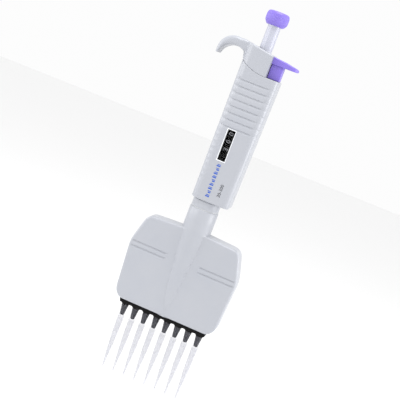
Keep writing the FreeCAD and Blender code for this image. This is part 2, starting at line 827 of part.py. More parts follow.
def ejectorKnob():
    """Thumb lever over a block that sinks into the handle's well."""
    body = newBody("ejector_knob")
    side = [
        ("knobLeft", "knobShelf"),
        ("knobBlockLeft", "knobShelf"),
        ("knobBlockLeft", "pocketFoot"),
        ("knobBlockRight", "pocketFoot"),
        ("knobBlockRight", "knobShelf"),
        ("28.2", "knobShelf"),
        ("29", "knobShelf + 0.8"),
        ("29", "knobShelf + 1.7"),
        ("28", "knobShelf + 2.5"),
        ("knobBlockRight + 0.8", "knobShelf + 4.5"),
        ("knobLeft", "knobShelf + 5.4"),
    ]
    pad(body, sketch(body, "XZ_Plane", [side]), "2 * knobHalfDepth", both=True)
    socket = sketch(body, "XY_Plane", [("ejectorX", "0", "ejectorRodRadius")], "pocketFoot")
    pocket(body, socket, "ejectorRodTop - pocketFoot", flipped=True)


def ejectorRod():
    body = newBody("ejector_rod")
    turn(body, [
        ("0", "forkFoot"),
        ("ejectorRodRadius", "forkFoot"),
        ("ejectorRodRadius", "ejectorCollarFoot"),
        ("ejectorChannelRadius - 0.2", "ejectorCollarFoot"),
        ("ejectorChannelRadius - 0.2", "ejectorCollarFoot + 2"),
        ("ejectorRodRadius", "ejectorCollarFoot + 2"),
        ("ejectorRodRadius", "ejectorRodTop"),
        ("0", "ejectorRodTop"),
    ])
    body.setExpression("Placement.Base.x", bound("ejectorX"))


def ejectorFork():
    """Arm on the rod's foot that reaches round the operating rod and pushes the sleeve."""
    body = newBody("ejector_fork")
    arm = rectangle("-5.5", "16.3", "-4.5", "4.5")
    pad(body, sketch(body, "XY_Plane", [arm], "forkFoot"), "forkTop - forkFoot")
    holes = [("0", "0", "rodClearRadius"), ("ejectorX", "0", "ejectorRodRadius")]
    pocket(body, sketch(body, "XY_Plane", holes, "forkTop"), "forkTop - forkFoot")


# ---- build ----

for channel in range(sizes["channels"]):
    tip(channel)
    nozzle(channel)
ejectorComb()
ejectorBlades()
ejectorCrossbar()
ejectorSleeve()
moduleShell("module_front_shell", front=True)
moduleShell("module_back_shell", front=False)
moduleScrews()
neckTube()
cylinderBlock()
pistonSeals()
sealPlate()
yokeGuides()
pistons()
pistonYoke()
yokeStem()
lowerBushing()
swivelNut()
swivelWasher()
couplingRing()
handleBody()
hookCap()
topBushing()
sideScrew()
windowFrame()
windowLens()
for cell, label in enumerate(("counter_spacer", "hundreds_drum", "tens_drum", "units_drum")):
    counterRing(label, cell)
counterPlates()
adjusterSleeve()
sleeveCap()
micrometerNut()
pushButton()
plungerStem()
operatingRod()
stopRing()
ejectorKnob()
ejectorRod()
ejectorFork()
spring("return_spring", "0", "6.6", 0.45, "springFoot", "stemFlangeFoot", 9)
spring("blowout_spring", "0", "4.6", 0.65, "springFoot", "stopRingTop - stopRingThickness", 6)
spring("ejector_spring", "ejectorX", "2.4", 0.35, "ejectorSeat", "ejectorCollarFoot", 16)
doc.recompute()

failed = [item.Label for item in doc.Objects if {"Invalid", "Error"} & set(item.State)]
failed += [piece.Label for piece in pieces if piece.Shape.isNull() or not piece.Shape.isValid()]
if failed:
    raise RuntimeError(f"these objects did not build: {failed}")
for piece in pieces:
    piece.Shape.exportStep(f"parts/{piece.Label}.step")
    print(piece.Label, len(piece.Shape.Solids), round(piece.Shape.Volume, 1))
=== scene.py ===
import json
import math
import bmesh
import bpy
import numpy as np
from mathutils import Matrix, Vector


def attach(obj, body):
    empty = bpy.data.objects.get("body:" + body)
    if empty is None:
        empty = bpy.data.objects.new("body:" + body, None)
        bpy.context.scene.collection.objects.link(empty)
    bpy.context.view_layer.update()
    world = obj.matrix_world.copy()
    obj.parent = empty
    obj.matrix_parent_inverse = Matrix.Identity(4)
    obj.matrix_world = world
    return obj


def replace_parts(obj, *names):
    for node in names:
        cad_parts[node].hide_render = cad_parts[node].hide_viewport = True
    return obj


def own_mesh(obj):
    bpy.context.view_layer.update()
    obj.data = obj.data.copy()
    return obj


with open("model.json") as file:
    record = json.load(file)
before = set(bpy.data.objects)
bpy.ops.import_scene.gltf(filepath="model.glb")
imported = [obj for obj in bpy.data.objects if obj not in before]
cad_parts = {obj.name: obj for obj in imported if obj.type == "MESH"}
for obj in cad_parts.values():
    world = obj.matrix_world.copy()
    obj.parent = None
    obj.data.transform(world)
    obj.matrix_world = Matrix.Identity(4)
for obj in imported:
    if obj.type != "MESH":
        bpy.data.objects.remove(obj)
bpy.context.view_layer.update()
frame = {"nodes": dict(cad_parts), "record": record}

mm = 0.001
print("frame loaded")


def srgb(code, alpha=1.0):
    # hex colour to linear light: the sRGB curve is a short line, then a 2.4 power
    parts = [int(code[i:i + 2], 16) / 255 for i in (1, 3, 5)]
    return [c / 12.92 if c <= 0.04045 else ((c + 0.055) / 1.055) ** 2.4 for c in parts] + [alpha]


def newMaterial(name):
    material = bpy.data.materials.new(name)
    material.use_nodes = True
    material.node_tree.nodes.clear()
    return material


def addNode(material, kind, inputs=None, **settings):
    tree = material.node_tree
    node = tree.nodes.new("ShaderNode" + kind)
    for name, value in settings.items():
        setattr(node, name, value)
    for name, value in (inputs or {}).items():
        if isinstance(value, bpy.types.NodeSocket):
            tree.links.new(value, node.inputs[name])
        else:
            node.inputs[name].default_value = value
    return node


def gridFaces(rows, columns, wrap=True):
    # quads between neighbouring rows; with wrap the last column joins the first
    across = np.arange(columns if wrap else columns - 1)
    up = np.arange(rows - 1)[:, None] * columns
    after = (across + 1) % columns
    return np.stack([up + across, up + after, up + columns + after, up + columns + across], -1).reshape(-1, 4)


def fixNormals(piece):
    # points that coincide are merged, then every face is turned outwards
    work = bmesh.new()
    work.from_mesh(piece.data)
    bmesh.ops.remove_doubles(work, verts=work.verts, dist=1e-7)
    bmesh.ops.recalc_face_normals(work, faces=work.faces)
    work.to_mesh(piece.data)
    work.free()


def closeSeams(piece):
    # patches that meet are joined without a turn of their faces, and slivers go
    near = 0.001 * mm
    work = bmesh.new()
    work.from_mesh(piece.data)
    bmesh.ops.remove_doubles(work, verts=work.verts, dist=near)
    bmesh.ops.dissolve_degenerate(work, edges=work.edges, dist=near)
    work.to_mesh(piece.data)
    work.free()


def newPiece(name, points, faces, material, body, sharp=35, closed=True):
    # points in millimetres become a mesh in metres, shaded smooth up to the sharp angle
    mesh = bpy.data.meshes.new(name)
    mesh.from_pydata((np.asarray(points).reshape(-1, 3) * mm).tolist(), [], faces)
    mesh.materials.append(material)
    piece = bpy.data.objects.new(name, mesh)
    bpy.context.scene.collection.objects.link(piece)
    if closed:
        fixNormals(piece)
    mesh.polygons.foreach_set("use_smooth", [True] * len(mesh.polygons))
    mesh.set_sharp_from_angle(angle=math.radians(sharp))
    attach(piece, body)
    return piece


def mergeParts(parts):
    # several (points, faces) lists become one, with the face numbers moved along
    points, faces, start = [], [], 0
    for partPoints, partFaces in parts:
        partPoints = np.asarray(partPoints).reshape(-1, 3)
        points.append(partPoints)
        faces += [[int(i) + start for i in face] for face in partFaces]
        start += len(partPoints)
    return np.concatenate(points), faces


def lathe(profile, columns=64, centre=(0, 0), ripple=None):
    # profile rows of (radius, height) turned about a vertical line; a radius of 0 is a pole
    profile = np.asarray(profile, float)
    angle = np.linspace(0, 2 * np.pi, columns, endpoint=False)
    radius = np.repeat(profile[:, :1], columns, 1)
    if ripple is not None:
        radius = radius + ripple(profile[:, 1:2], angle[None, :])
    x = centre[0] + radius * np.cos(angle)
    y = centre[1] + radius * np.sin(angle)
    z = np.repeat(profile[:, 1:2], columns, 1)
    points = np.stack([x, y, z], -1)
    first, last = profile[0, 0] < 1e-6, profile[-1, 0] < 1e-6
    body = points[int(first):len(points) - int(last)]
    rows = len(body)
    faces = gridFaces(rows, columns).tolist()
    points = body.reshape(-1, 3)
    ring = np.arange(columns)
    if first:
        points = np.vstack([points, [centre[0], centre[1], profile[0, 1]]])
        pole = len(points) - 1
        faces += [[pole, int(b), int(a)] for a, b in zip(ring, np.roll(ring, -1))]
    if last:
        points = np.vstack([points, [centre[0], centre[1], profile[-1, 1]]])
        pole = len(points) - 1
        top = (rows - 1) * columns
        faces += [[pole, int(a) + top, int(b) + top] for a, b in zip(ring, np.roll(ring, -1))]
    if not first and not last:
        # an open profile is a wall section, so its ends are joined into a closed ring
        top = (rows - 1) * columns
        faces += [[int(a) + top, int(b) + top, int(b), int(a)] for a, b in zip(ring, np.roll(ring, -1))]
    return points, faces


def roundCorners(outline, cutBack, steps, closed=True):
    # each corner is cut back by a length, at most nearly half an edge, and bridged with a quadratic
    # curve: (1 - t) squared of its start, 2 t (1 - t) of the corner and t squared of its end
    outline = np.asarray(outline, float)
    before, after = np.roll(outline, 1, 0), np.roll(outline, -1, 0)
    most = 0.49
    t = np.linspace(0, 1, steps)[:, None]
    result = []
    for i, corner in enumerate(outline):
        if cutBack[i] <= 0 or (not closed and i in (0, len(outline) - 1)):
            result.append(corner[None])
            continue
        start, end = [corner + way * min(cutBack[i] / np.linalg.norm(way), most)
                      for way in (before[i] - corner, after[i] - corner)]
        result.append((1 - t) ** 2 * start + 2 * t * (1 - t) * corner + t ** 2 * end)
    return np.concatenate(result)


# sizes in millimetres: of the clouds in the colour, of the grain, and of the grain's height
casingLook = {"colour": "#aaacb2", "tint": "#a4a7af", "cloudSize": 18, "roughness": 0.3, "grainSize": 0.4,
              "grain": 0.006}
lavenderLook = {"colour": "#7f6dca", "tint": "#7866c2", "cloudSize": 18, "roughness": 0.36, "grainSize": 0.4,
                "grain": 0.006}


def mouldedAbs(name, look):
    # injection-moulded ABS: satin sheen, a spark-eroded grain and a faint cloudiness in the colour
    material = newMaterial(name)
    spread = 0.05  # how far the grain moves the roughness either way
    place = addNode(material, "TexCoord").outputs["Object"]
    cloud = addNode(material, "TexNoise", {"Vector": place, "Scale": 1 / (look["cloudSize"] * mm),
                                           "Detail": 2.0})
    grain = addNode(material, "TexNoise", {"Vector": place, "Scale": 1 / (look["grainSize"] * mm),
                                           "Detail": 2.0})
    colour = addNode(material, "MixRGB", {"Fac": cloud.outputs["Fac"], "Color1": srgb(look["colour"]),
                                          "Color2": srgb(look["tint"])})
    low, high = look["roughness"] - spread, look["roughness"] + spread
    rough = addNode(material, "MapRange", {"Value": grain.outputs["Fac"], "To Min": low, "To Max": high})
    bump = addNode(material, "Bump", {"Height": grain.outputs["Fac"], "Strength": 0.25,
                                      "Distance": look["grain"] * mm})
    shader = addNode(material, "BsdfPrincipled", {"Base Color": colour.outputs["Color"], "IOR": 1.53,
                                                  "Roughness": rough.outputs["Result"],
                                                  "Normal": bump.outputs["Normal"]})
    addNode(material, "OutputMaterial", {"Surface": shader.outputs["BSDF"]})
    return material


def polishedAcetal(name, code, roughness):
    # turned and polished acetal: milky white, with faint lathe rings round it that draw the shine out
    material = newMaterial(name)
    ringStep = 0.5  # the rings repeat every 2 pi of this, coarser than real turning marks so that they show
    place = addNode(material, "TexCoord").outputs["Object"]
    rings = addNode(material, "TexWave", {"Vector": place, "Scale": 1 / (20 * ringStep * mm),
                                          "Distortion": 0.4}, bands_direction="Z")
    bump = addNode(material, "Bump", {"Height": rings.outputs["Fac"], "Strength": 0.1,
                                      "Distance": 0.003 * mm})
    shader = addNode(material, "BsdfPrincipled", {"Base Color": srgb(code), "Roughness": roughness,
                                                  "IOR": 1.48, "Coat Weight": 0.2, "Coat Roughness": 0.15,
                                                  "Normal": bump.outputs["Normal"]})
    addNode(material, "OutputMaterial", {"Surface": shader.outputs["BSDF"]})
    return material


# heights between which the cone's cover gives way to the collar's; a cover of 1 would be solid
tipLook = {"colour": "#9fa0ad", "hazeSize": 6, "roughness": (0.12, 0.22), "coneTop": 43.6, "collarFoot": 45.6,
           "coneCover": 0.21, "collarCover": 0.07}


def clearPolypropylene(name, look):
    # natural polypropylene: a milky haze in the long cone, and a polished collar that is nearly clear
    material = newMaterial(name)
    low, high = look["roughness"]
    place = addNode(material, "TexCoord").outputs["Object"]
    haze = addNode(material, "TexNoise", {"Vector": place, "Scale": 1 / (look["hazeSize"] * mm),
                                          "Detail": 1.0})
    rough = addNode(material, "MapRange", {"Value": haze.outputs["Fac"], "To Min": low, "To Max": high})
    height = addNode(material, "SeparateXYZ", {"Vector": place}).outputs["Z"]
    cover = addNode(material, "MapRange", {"Value": height, "From Min": look["coneTop"] * mm,
                                           "From Max": look["collarFoot"] * mm, "To Min": look["coneCover"],
                                           "To Max": look["collarCover"]}, interpolation_type="SMOOTHSTEP")
    shader = addNode(material, "BsdfPrincipled", {"Base Color": srgb(look["colour"]), "IOR": 1.49,
                                                  "Roughness": rough.outputs["Result"],
                                                  "Alpha": cover.outputs["Result"]})
    addNode(material, "OutputMaterial", {"Surface": shader.outputs["BSDF"]})
    return material


def glassFilledNylon(name, code, roughness, ior):
    # black glass-filled nylon: fibres near the skin break its shine into a dull speckle
    material = newMaterial(name)
    fibreSize, upright, spread = 0.4, 0.35, 0.1
    place = addNode(material, "TexCoord").outputs["Object"]
    stretch = addNode(material, "Mapping", {"Vector": place, "Scale": (1, 1, upright)})
    fibre = addNode(material, "TexNoise", {"Vector": stretch.outputs["Vector"], "Scale": 1 / (fibreSize * mm),
                                           "Detail": 3.0})
    rough = addNode(material, "MapRange", {"Value": fibre.outputs["Fac"], "To Min": roughness - spread,
                                           "To Max": roughness + spread})
    bump = addNode(material, "Bump", {"Height": fibre.outputs["Fac"], "Strength": 0.3, "Distance": 0.02 * mm})
    shader = addNode(material, "BsdfPrincipled", {"Base Color": srgb(code), "IOR": ior,
                                                  "Roughness": rough.outputs["Result"],
                                                  "Normal": bump.outputs["Normal"]})
    addNode(material, "OutputMaterial", {"Surface": shader.outputs["BSDF"]})
    return material


def brushedMetal(name, code, roughness, lineSize):
    # bare metal with its grinding lines, which run round the turned parts
    material = newMaterial(name)
    along, spread = 0.05, 0.06
    place = addNode(material, "TexCoord").outputs["Object"]
    stretch = addNode(material, "Mapping", {"Vector": place, "Scale": (along, along, 1)})
    lines = addNode(material, "TexNoise", {"Vector": stretch.outputs["Vector"], "Scale": 1 / (lineSize * mm),
                                           "Detail": 2.0})
    rough = addNode(material, "MapRange", {"Value": lines.outputs["Fac"], "To Min": roughness - spread,
                                           "To Max": roughness + spread})
    shader = addNode(material, "BsdfPrincipled", {"Base Color": srgb(code), "Metallic": 1.0,
                                                  "Roughness": rough.outputs["Result"]})
    addNode(material, "OutputMaterial", {"Surface": shader.outputs["BSDF"]})
    return material


paneLook = {"colour": "#0c0d10", "cover": 0.1, "wipeSize": 4, "roughness": (0.04, 0.1)}


def clearPane(name, look):
    # polished polycarbonate: seen straight through, with a soft gloss that uneven wiping breaks up
    material = newMaterial(name)
    low, high = look["roughness"]
    place = addNode(material, "TexCoord").outputs["Object"]
    wipe = addNode(material, "TexNoise", {"Vector": place, "Scale": 1 / (look["wipeSize"] * mm),
                                          "Detail": 1.0})
    rough = addNode(material, "MapRange", {"Value": wipe.outputs["Fac"], "To Min": low, "To Max": high})
    shader = addNode(material, "BsdfPrincipled", {"Base Color": srgb(look["colour"]), "IOR": 1.58,
                                                  "Roughness": rough.outputs["Result"],
                                                  "Alpha": look["cover"]})
    addNode(material, "OutputMaterial", {"Surface": shader.outputs["BSDF"]})
    return material


def plainFinish(name, code, roughness, ior=1.49, grainSize=0.5):
    # a thin printed or moulded finish with a trace of unevenness in its shine
    material = newMaterial(name)
    spread = 0.04
    place = addNode(material, "TexCoord").outputs["Object"]
    grain = addNode(material, "TexNoise", {"Vector": place, "Scale": 1 / (grainSize * mm)})
    rough = addNode(material, "MapRange", {"Value": grain.outputs["Fac"], "To Min": roughness - spread,
                                           "To Max": roughness + spread})
    shader = addNode(material, "BsdfPrincipled", {"Base Color": srgb(code), "IOR": ior,
                                                  "Roughness": rough.outputs["Result"]})
    addNode(material, "OutputMaterial", {"Surface": shader.outputs["BSDF"]})
    return material


casing = mouldedAbs("lightGreyAbs", casingLook)
lavender = mouldedAbs("lavenderAbs", lavenderLook)
stemWhite = polishedAcetal("polishedAcetal", "#b4b6c2", 0.3)
whiteAcetal = polishedAcetal("whiteAcetal", "#dcdcd6", 0.35)
clearPp = clearPolypropylene("clearPolypropylene", tipLook)
blackNylon = glassFilledNylon("blackNylon", "#040405", roughness=0.6, ior=1.25)
nozzleNylon = glassFilledNylon("greyBlackNylon", "#070709", roughness=0.32, ior=1.35)
drumBlack = plainFinish("mattBlackDrum", "#020203", 0.6, ior=1.2)
digitGrey = plainFinish("greyPrint", "#8d8f95", 0.5)
lensClear = clearPane("clearPolycarbonate", paneLook)
# the window frame is the casing's plastic made near white, a painted highlight for the light its rounded rim
# catches
rimHighlightFrame = plainFinish("paintedHighlightFrame", "#eceef1", 0.4)
blueInk = plainFinish("bluePadPrint", "#2153b4", 0.45)
darkInk = plainFinish("darkPadPrint", "#26262c", 0.5)
groundSteel = brushedMetal("groundSteel", "#b9babd", roughness=0.3, lineSize=0.25)
millAluminium = brushedMetal("millAluminium", "#cfd0d3", roughness=0.34, lineSize=0.4)
blackRubber = plainFinish("blackNitrile", "#141414", 0.7)
slotMaterials = {
    "casing": casing, "button": lavender, "stem": stemWhite, "comb": blackNylon, "nozzle": nozzleNylon,
    "tip": clearPp, "lens": lensClear, "drum": drumBlack, "frame": rimHighlightFrame, "steel": groundSteel,
    "acetal": whiteAcetal, "aluminium": millAluminium, "seal": blackRubber,
}
for part in frame["record"]["subparts"]:
    mesh = frame["nodes"][part["node"]].data
    mesh.materials.clear()
    mesh.materials.append(slotMaterials[part["material_slot"]])
print("materials made")

stage = {"floorHeight": -90, "floorSize": 6000, "floorColour": "#f8f8f8", "worldStrength": 0.98,
         "lens": 81, "sensorWidth": 36, "clipStart": 10, "distance": 682, "azimuth": 9.0, "elevation": 9.23,
         "roll": 20.9, "aimHeight": 152.7, "aimShift": -5.69}
lights = {"keyLight": {"place": (-480, -420, 330), "size": 300, "power": 0.9},
          "leftLight": {"place": (-640, -30, 300), "size": 420, "power": 1.1},
          "rightLight": {"place": (640, -20, 260), "size": 420, "power": 2.4},
          "topLight": {"place": (20, -170, 850), "size": 420, "power": 3.5}}


def makeStage():
    bpy.context.scene.view_settings.view_transform = "Standard"
    world = bpy.data.worlds.new("studio")
    bpy.context.scene.world = world
    world.use_nodes = True
    background = world.node_tree.nodes["Background"].inputs
    background["Color"].default_value = (1, 1, 1, 1)
    background["Strength"].default_value = stage["worldStrength"]
    half = stage["floorSize"] / 2
    corners = [(-half, -half), (half, -half), (half, half), (-half, half)]
    mesh = bpy.data.meshes.new("floor")
    mesh.from_pydata([(x * mm, y * mm, stage["floorHeight"] * mm) for x, y in corners], [], [[0, 1, 2, 3]])
    floor = bpy.data.objects.new("floor", mesh)
    bpy.context.scene.collection.objects.link(floor)
    mesh.materials.append(plainFinish("paleFloor", stage["floorColour"], 0.9, grainSize=40))
    for name, light in lights.items():
        softLight(name, **light)


def softLight(name, place, size, power):
    # a square area lamp turned to the height that the camera aims at
    lamp = bpy.data.lights.new(name, "AREA")
    lamp.size = size * mm
    lamp.energy = power
    light = bpy.data.objects.new(name, lamp)
    light.location = Vector(place) * mm
    toward = Vector((0, 0, stage["aimHeight"] * mm)) - light.location
    light.rotation_euler = toward.to_track_quat("-Z", "Y").to_euler()
    bpy.context.scene.collection.objects.link(light)


def makeCamera():
    # on a sphere about the aim point, turned about its own line of sight by the roll
    azimuth, elevation = math.radians(stage["azimuth"]), math.radians(stage["elevation"])
    right = Vector((math.cos(azimuth), math.sin(azimuth), 0))
    aim = Vector((0, 0, stage["aimHeight"])) + stage["aimShift"] * right
    away = Vector((math.sin(azimuth) * math.cos(elevation), -math.cos(azimuth) * math.cos(elevation),
                   math.sin(elevation)))
    lens = bpy.data.cameras.new("camera")
    lens.lens = stage["lens"]
    lens.sensor_width = stage["sensorWidth"]
    lens.clip_start = stage["clipStart"] * mm
    camera = bpy.data.objects.new("camera", lens)
    turned = away.to_track_quat("Z", "Y").to_matrix().to_4x4()
    roll = Matrix.Rotation(math.radians(stage["roll"]), 4, "Z")
    camera.matrix_world = Matrix.Translation((aim + stage["distance"] * away) * mm) @ turned @ roll
    bpy.context.scene.collection.objects.link(camera)
    bpy.context.scene.camera = camera


makeStage()
makeCamera()
print("stage and camera made")


# a loft for pieces drawn in side view: each section runs from a lower to an upper line in the x-z
# plane, and its front and back stand off by the half depth less a quarter-round edge
def loft(lower, upper, half, rounding, samples, across):
    span = np.linalg.norm(upper - lower, axis=1)[:, None]
    ease = (1 - np.cos(np.linspace(0, np.pi, samples))) / 2
    point = lower[:, None] + (upper - lower)[:, None] * ease[None, :, None]
    x, z = point[..., 0], point[..., 1]
    depth = half(x) if callable(half) else np.broadcast_to(half.reshape(-1, 1), x.shape)
    low, high = [np.broadcast_to(radius.reshape(-1, 1), x.shape) for radius in rounding]
    most, least = 0.49, 1e-3  # of the span, and in millimetres
    for edge, radius in ((ease * span, low), ((1 - ease) * span, high)):
        radius = np.maximum(np.minimum(radius, most * span), least)
        inside = np.clip(radius - edge, 0, radius)
        depth = depth - radius + np.sqrt(radius ** 2 - inside ** 2)
    front = np.stack([x, -depth, z], -1)
    back = np.stack([x, depth, z], -1)[:, ::-1]
    inPlane, deep = np.array([1, 0, 1]), np.array([0, 1, 0])
    side = np.linspace(-1, 1, across + 2)[None, 1:-1, None]
    top = front[:, -1:] * inPlane + side * depth[:, -1:, None] * deep
    bottom = front[:, :1] * inPlane - side * depth[:, :1, None] * deep
    loops = np.concatenate([front, top, back, bottom], 1)
    rows, columns = loops.shape[:2]
    faces = gridFaces(rows, columns).tolist()
    faces.append(list(range(columns))[::-1])
    faces.append([(rows - 1) * columns + i for i in range(columns)])
    return loops.reshape(-1, 3), faces


def box(low, high):
    # eight corners of a block and its six sides, all facing out
    x, y, z = [np.array([a, b], float) for a, b in zip(low, high)]
    points = np.stack(np.meshgrid(x, y, z, indexing="ij"), -1).reshape(-1, 3)
    faces = [[0, 1, 3, 2], [4, 6, 7, 5], [0, 4, 5, 1], [2, 3, 7, 6], [0, 2, 6, 4], [1, 5, 7, 3]]
    return points, faces


def cylinder(radius, low, high, centre=(0, 0), columns=64):
    return lathe([(0, low), (radius, low), (radius, high), (0, high)], columns, centre)


def layDown(part, order, shift):
    # the same shape with its axes in another order, then moved; its faces are turned out later
    points, faces = part
    return points[:, order] + np.array(shift), faces


def cutAway(piece, cutters):
    # each cutter is a closed mesh taken out of the piece, which becomes a plain mesh again
    for points, faces in cutters:
        mesh = bpy.data.meshes.new("cutter")
        mesh.from_pydata((np.asarray(points).reshape(-1, 3) * mm).tolist(), [], faces)
        tool = bpy.data.objects.new("cutter", mesh)
        bpy.context.scene.collection.objects.link(tool)
        fixNormals(tool)
        boolean = piece.modifiers.new("cut", "BOOLEAN")
        boolean.operation = "DIFFERENCE"
        boolean.solver = "EXACT"
        boolean.object = tool
        applyModifiers(piece)
        bpy.data.objects.remove(tool)
        bpy.data.meshes.remove(mesh)


def applyModifiers(piece, sharp=35):
    # the piece's modifiers are worked out once and kept as its mesh
    bpy.context.view_layer.update()
    made = bpy.data.meshes.new_from_object(piece.evaluated_get(bpy.context.evaluated_depsgraph_get()))
    piece.modifiers.clear()
    old = piece.data
    made.name = old.name
    piece.data = made
    bpy.data.meshes.remove(old)
    made.polygons.foreach_set("use_smooth", [True] * len(made.polygons))
    made.set_sharp_from_angle(angle=math.radians(sharp))


# section of a finger groove from below: a long ramp in, then a short steep wall out, as parts of its
# width and of its depth
grooveSection = (np.array([-0.79, -0.74, -0.6, -0.4, -0.2, -0.05, 0.0, 0.05, 0.13, 0.21]),
                 np.array([0, 0.04, 0.25, 0.55, 0.85, 0.99, 1, 0.95, 0.3, 0]))


handle = {
    "foot": 155, "shoulder": 250, "taperTop": 256, "left": (-12, -12.5), "right": (17.8, 19.3),
    "halfDepth": 12, "leftCorner": 6, "rightCorner": 4.5, "rim": 0.45, "footEdge": 0.7, "footBand": 3,
    "seamCentre": (9, 293), "seamRadius": 37.1, "seamEnd": 8, "rightTop": 255.95,
    "grooveFoot": 213.0, "groovePitch": 5.1, "grooves": 8, "grooveWidth": 2.1, "grooveDepth": 0.6,
    "flankLoss": 0.75, "ribFoot": 168.5, "ribPitch": 4.6, "ribs": 10, "ribHeight": 0.2, "ribHalf": 0.9,
}
rodAxis = (13.9, 0)  # the ejector rod stands beside the handle's own axis
# boxes by their low and high corners, bores as (radius, height) outlines
handleHoles = {
    "fork": ((-9.05, -5, 157.5), (16.8, 5, 172.5)), "window": ((-3.6, -14, 186.95), (3.6, -8, 212.05)),
    "knobBlock": ((8.95, -6.8, 245.5), (18.45, 6.8, 260)),
    "chamber": [(0, 150), (6.5, 150), (6.5, 157.4), (10, 157.4), (10, 300), (0, 300)],
    "rod": [(0, 172.2), (2, 172.2), (2, 200), (3, 200), (3, 247), (0, 247)],
    "screwRadius": 1.25, "screwFrom": 16.9, "screwTo": 20, "screwHeight": 164,
}


def seamHeight(x, radius):
    # the seam is the lower part of a large circle, level from just left of its centre on
    centre, height = handle["seamCentre"]
    across = np.clip(x - centre, -radius, handle["seamEnd"] - centre)
    return height - np.sqrt(radius ** 2 - across ** 2)


def handleRows():
    # heights and insets from the foot up: edge, plain wall, then a dip for each groove
    foot, edge = handle["foot"], handle["footEdge"]
    rowStep, gap = 0.9, 1.9  # between rows of the plain wall, and below the first groove
    turn = np.linspace(0, np.pi / 2, 5)
    plain = np.arange(foot + 2, handle["grooveFoot"] - gap, rowStep)
    heights = [foot + edge * (1 - np.cos(turn)), plain]
    insets = [edge * (1 - np.sin(turn)), np.zeros(len(plain))]
    dip, depth = grooveSection[0] * handle["grooveWidth"], grooveSection[1] * handle["grooveDepth"]
    for k in range(handle["grooves"]):
        heights.append(handle["grooveFoot"] + k * handle["groovePitch"] + dip)
        insets.append(depth)
    return np.concatenate(heights), np.concatenate(insets)


def makeHandle():
    # half loop from the left side round the front to the right, mirrored for the back: flats of the
    # sides and front, joined by quarter circles that grow inwards where a groove dips
    sideCount, cornerCount, frontCount = 6, 10, 46
    wallRows, rimRows = 10, 4
    heights, insets = handleRows()
    turn = np.linspace(0, np.pi / 2, rimRows + 1)[1:]
    insets = np.concatenate([insets, np.zeros(wallRows), handle["rim"] * (1 - np.cos(turn))])
    lift = np.concatenate([np.linspace(0, 1, wallRows + 1)[1:], np.ones(rimRows)])
    drop = -handle["rim"] * np.concatenate([lift[:wallRows], 1 - np.sin(turn)])
    z = np.concatenate([heights, np.full(wallRows + rimRows, handle["shoulder"])])[:, None]
    part = (z - handle["foot"]) / (handle["taperTop"] - handle["foot"])
    left, right = [low + part * (high - low) for low, high in (handle["left"], handle["right"])]
    deep, leftTurn, rightTurn = handle["halfDepth"], handle["leftCorner"], handle["rightCorner"]
    # the grooves lose most of their depth towards the flanks
    flank = np.concatenate([np.ones(10), np.linspace(1, 0, 9), np.zeros(39), np.linspace(0, 1, 5),
                            np.ones(15)])
    between = (z < handle["shoulder"]) * (z > handle["foot"] + handle["footBand"])
    inset = insets[:, None] * (1 - handle["flankLoss"] * flank * between)
    splits = np.cumsum([sideCount, cornerCount, frontCount, cornerCount])
    leftIn, leftTurnIn, frontIn, rightTurnIn, rightIn = np.split(inset, splits, axis=1)
    side = np.linspace(0, 1, sideCount, endpoint=False)
    arc = np.linspace(0, np.pi / 2, cornerCount, endpoint=False)
    lateArc = arc + np.pi / 2 / cornerCount
    across = np.linspace(0, 1, frontCount)
    one = np.ones_like(z)
    # low ribs swell out of the left corner and die away round it
    ribs = handle["ribFoot"] + handle["ribPitch"] * np.arange(handle["ribs"])
    wave = np.exp(-((z - ribs[None, :]) / handle["ribHalf"]) ** 4).sum(1)[:, None]
    ribTurn = 1.15  # a little over 1 ends the ribs just before the front
    bump = wave * handle["ribHeight"] * np.sin(np.clip(arc / (np.pi / 2) * ribTurn, 0, 1) * np.pi)[None, :]
    leftReach, rightReach = leftTurn - leftTurnIn + bump, rightTurn - rightTurnIn
    x = np.concatenate([(left + leftIn) * np.ones(sideCount),
                        left + leftTurn - leftReach * np.cos(arc),
                        (left + leftTurn) * (1 - across) + (right - rightTurn) * across,
                        right - rightTurn + rightReach * np.sin(lateArc),
                        (right - rightIn) * np.ones(sideCount)], 1)
    y = np.concatenate([-one * (deep - leftTurn) * side,
                        -(deep - leftTurn) * one - leftReach * np.sin(arc),
                        -(deep - frontIn) * np.ones(frontCount),
                        -(deep - rightTurn) * one - rightReach * np.cos(lateArc),
                        -(deep - rightTurn) * (1 - side - 1 / sideCount) * one], 1)
    top = np.where(x < handle["seamEnd"], seamHeight(x, handle["seamRadius"]), handle["rightTop"])
    level = np.zeros(len(heights))
    rise, drop = [np.concatenate([level, rows])[:, None] for rows in (lift, drop)]
    half = np.stack([x, y, z + rise * (top - z) + drop], -1)
    loops = np.concatenate([half, half[:, -2:0:-1] * np.array([1, -1, 1])], 1)
    rows, columns = loops.shape[:2]
    faces = gridFaces(rows, columns).tolist()
    # foot and rim are closed with strips from front to back, and one face along each flat side
    far, flat = columns // 2, sideCount + 1
    ends = [[k % columns for k in range(-flat, flat + 1)], list(range(far - flat, far + flat + 1))]
    strips = [[i, i + 1, columns - i - 1, columns - i] for i in range(flat, far - flat)]
    for base, order in ((0, -1), ((rows - 1) * columns, 1)):
        faces += [[base + k for k in face][::order] for face in ends + strips]
    piece = newPiece("handleShell", loops, faces, casing, "handle")
    holes = handleHoles
    screwHole = cylinder(holes["screwRadius"], holes["screwFrom"], holes["screwTo"], columns=32)
    cutAway(piece, [box(*holes["fork"]), lathe(holes["chamber"], 72), box(*holes["window"]),
                    box(*holes["knobBlock"]), lathe(holes["rod"], 30, rodAxis),
                    layDown(screwHole, [2, 0, 1], (0, 0, holes["screwHeight"]))])
    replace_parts(piece, "handle_body")


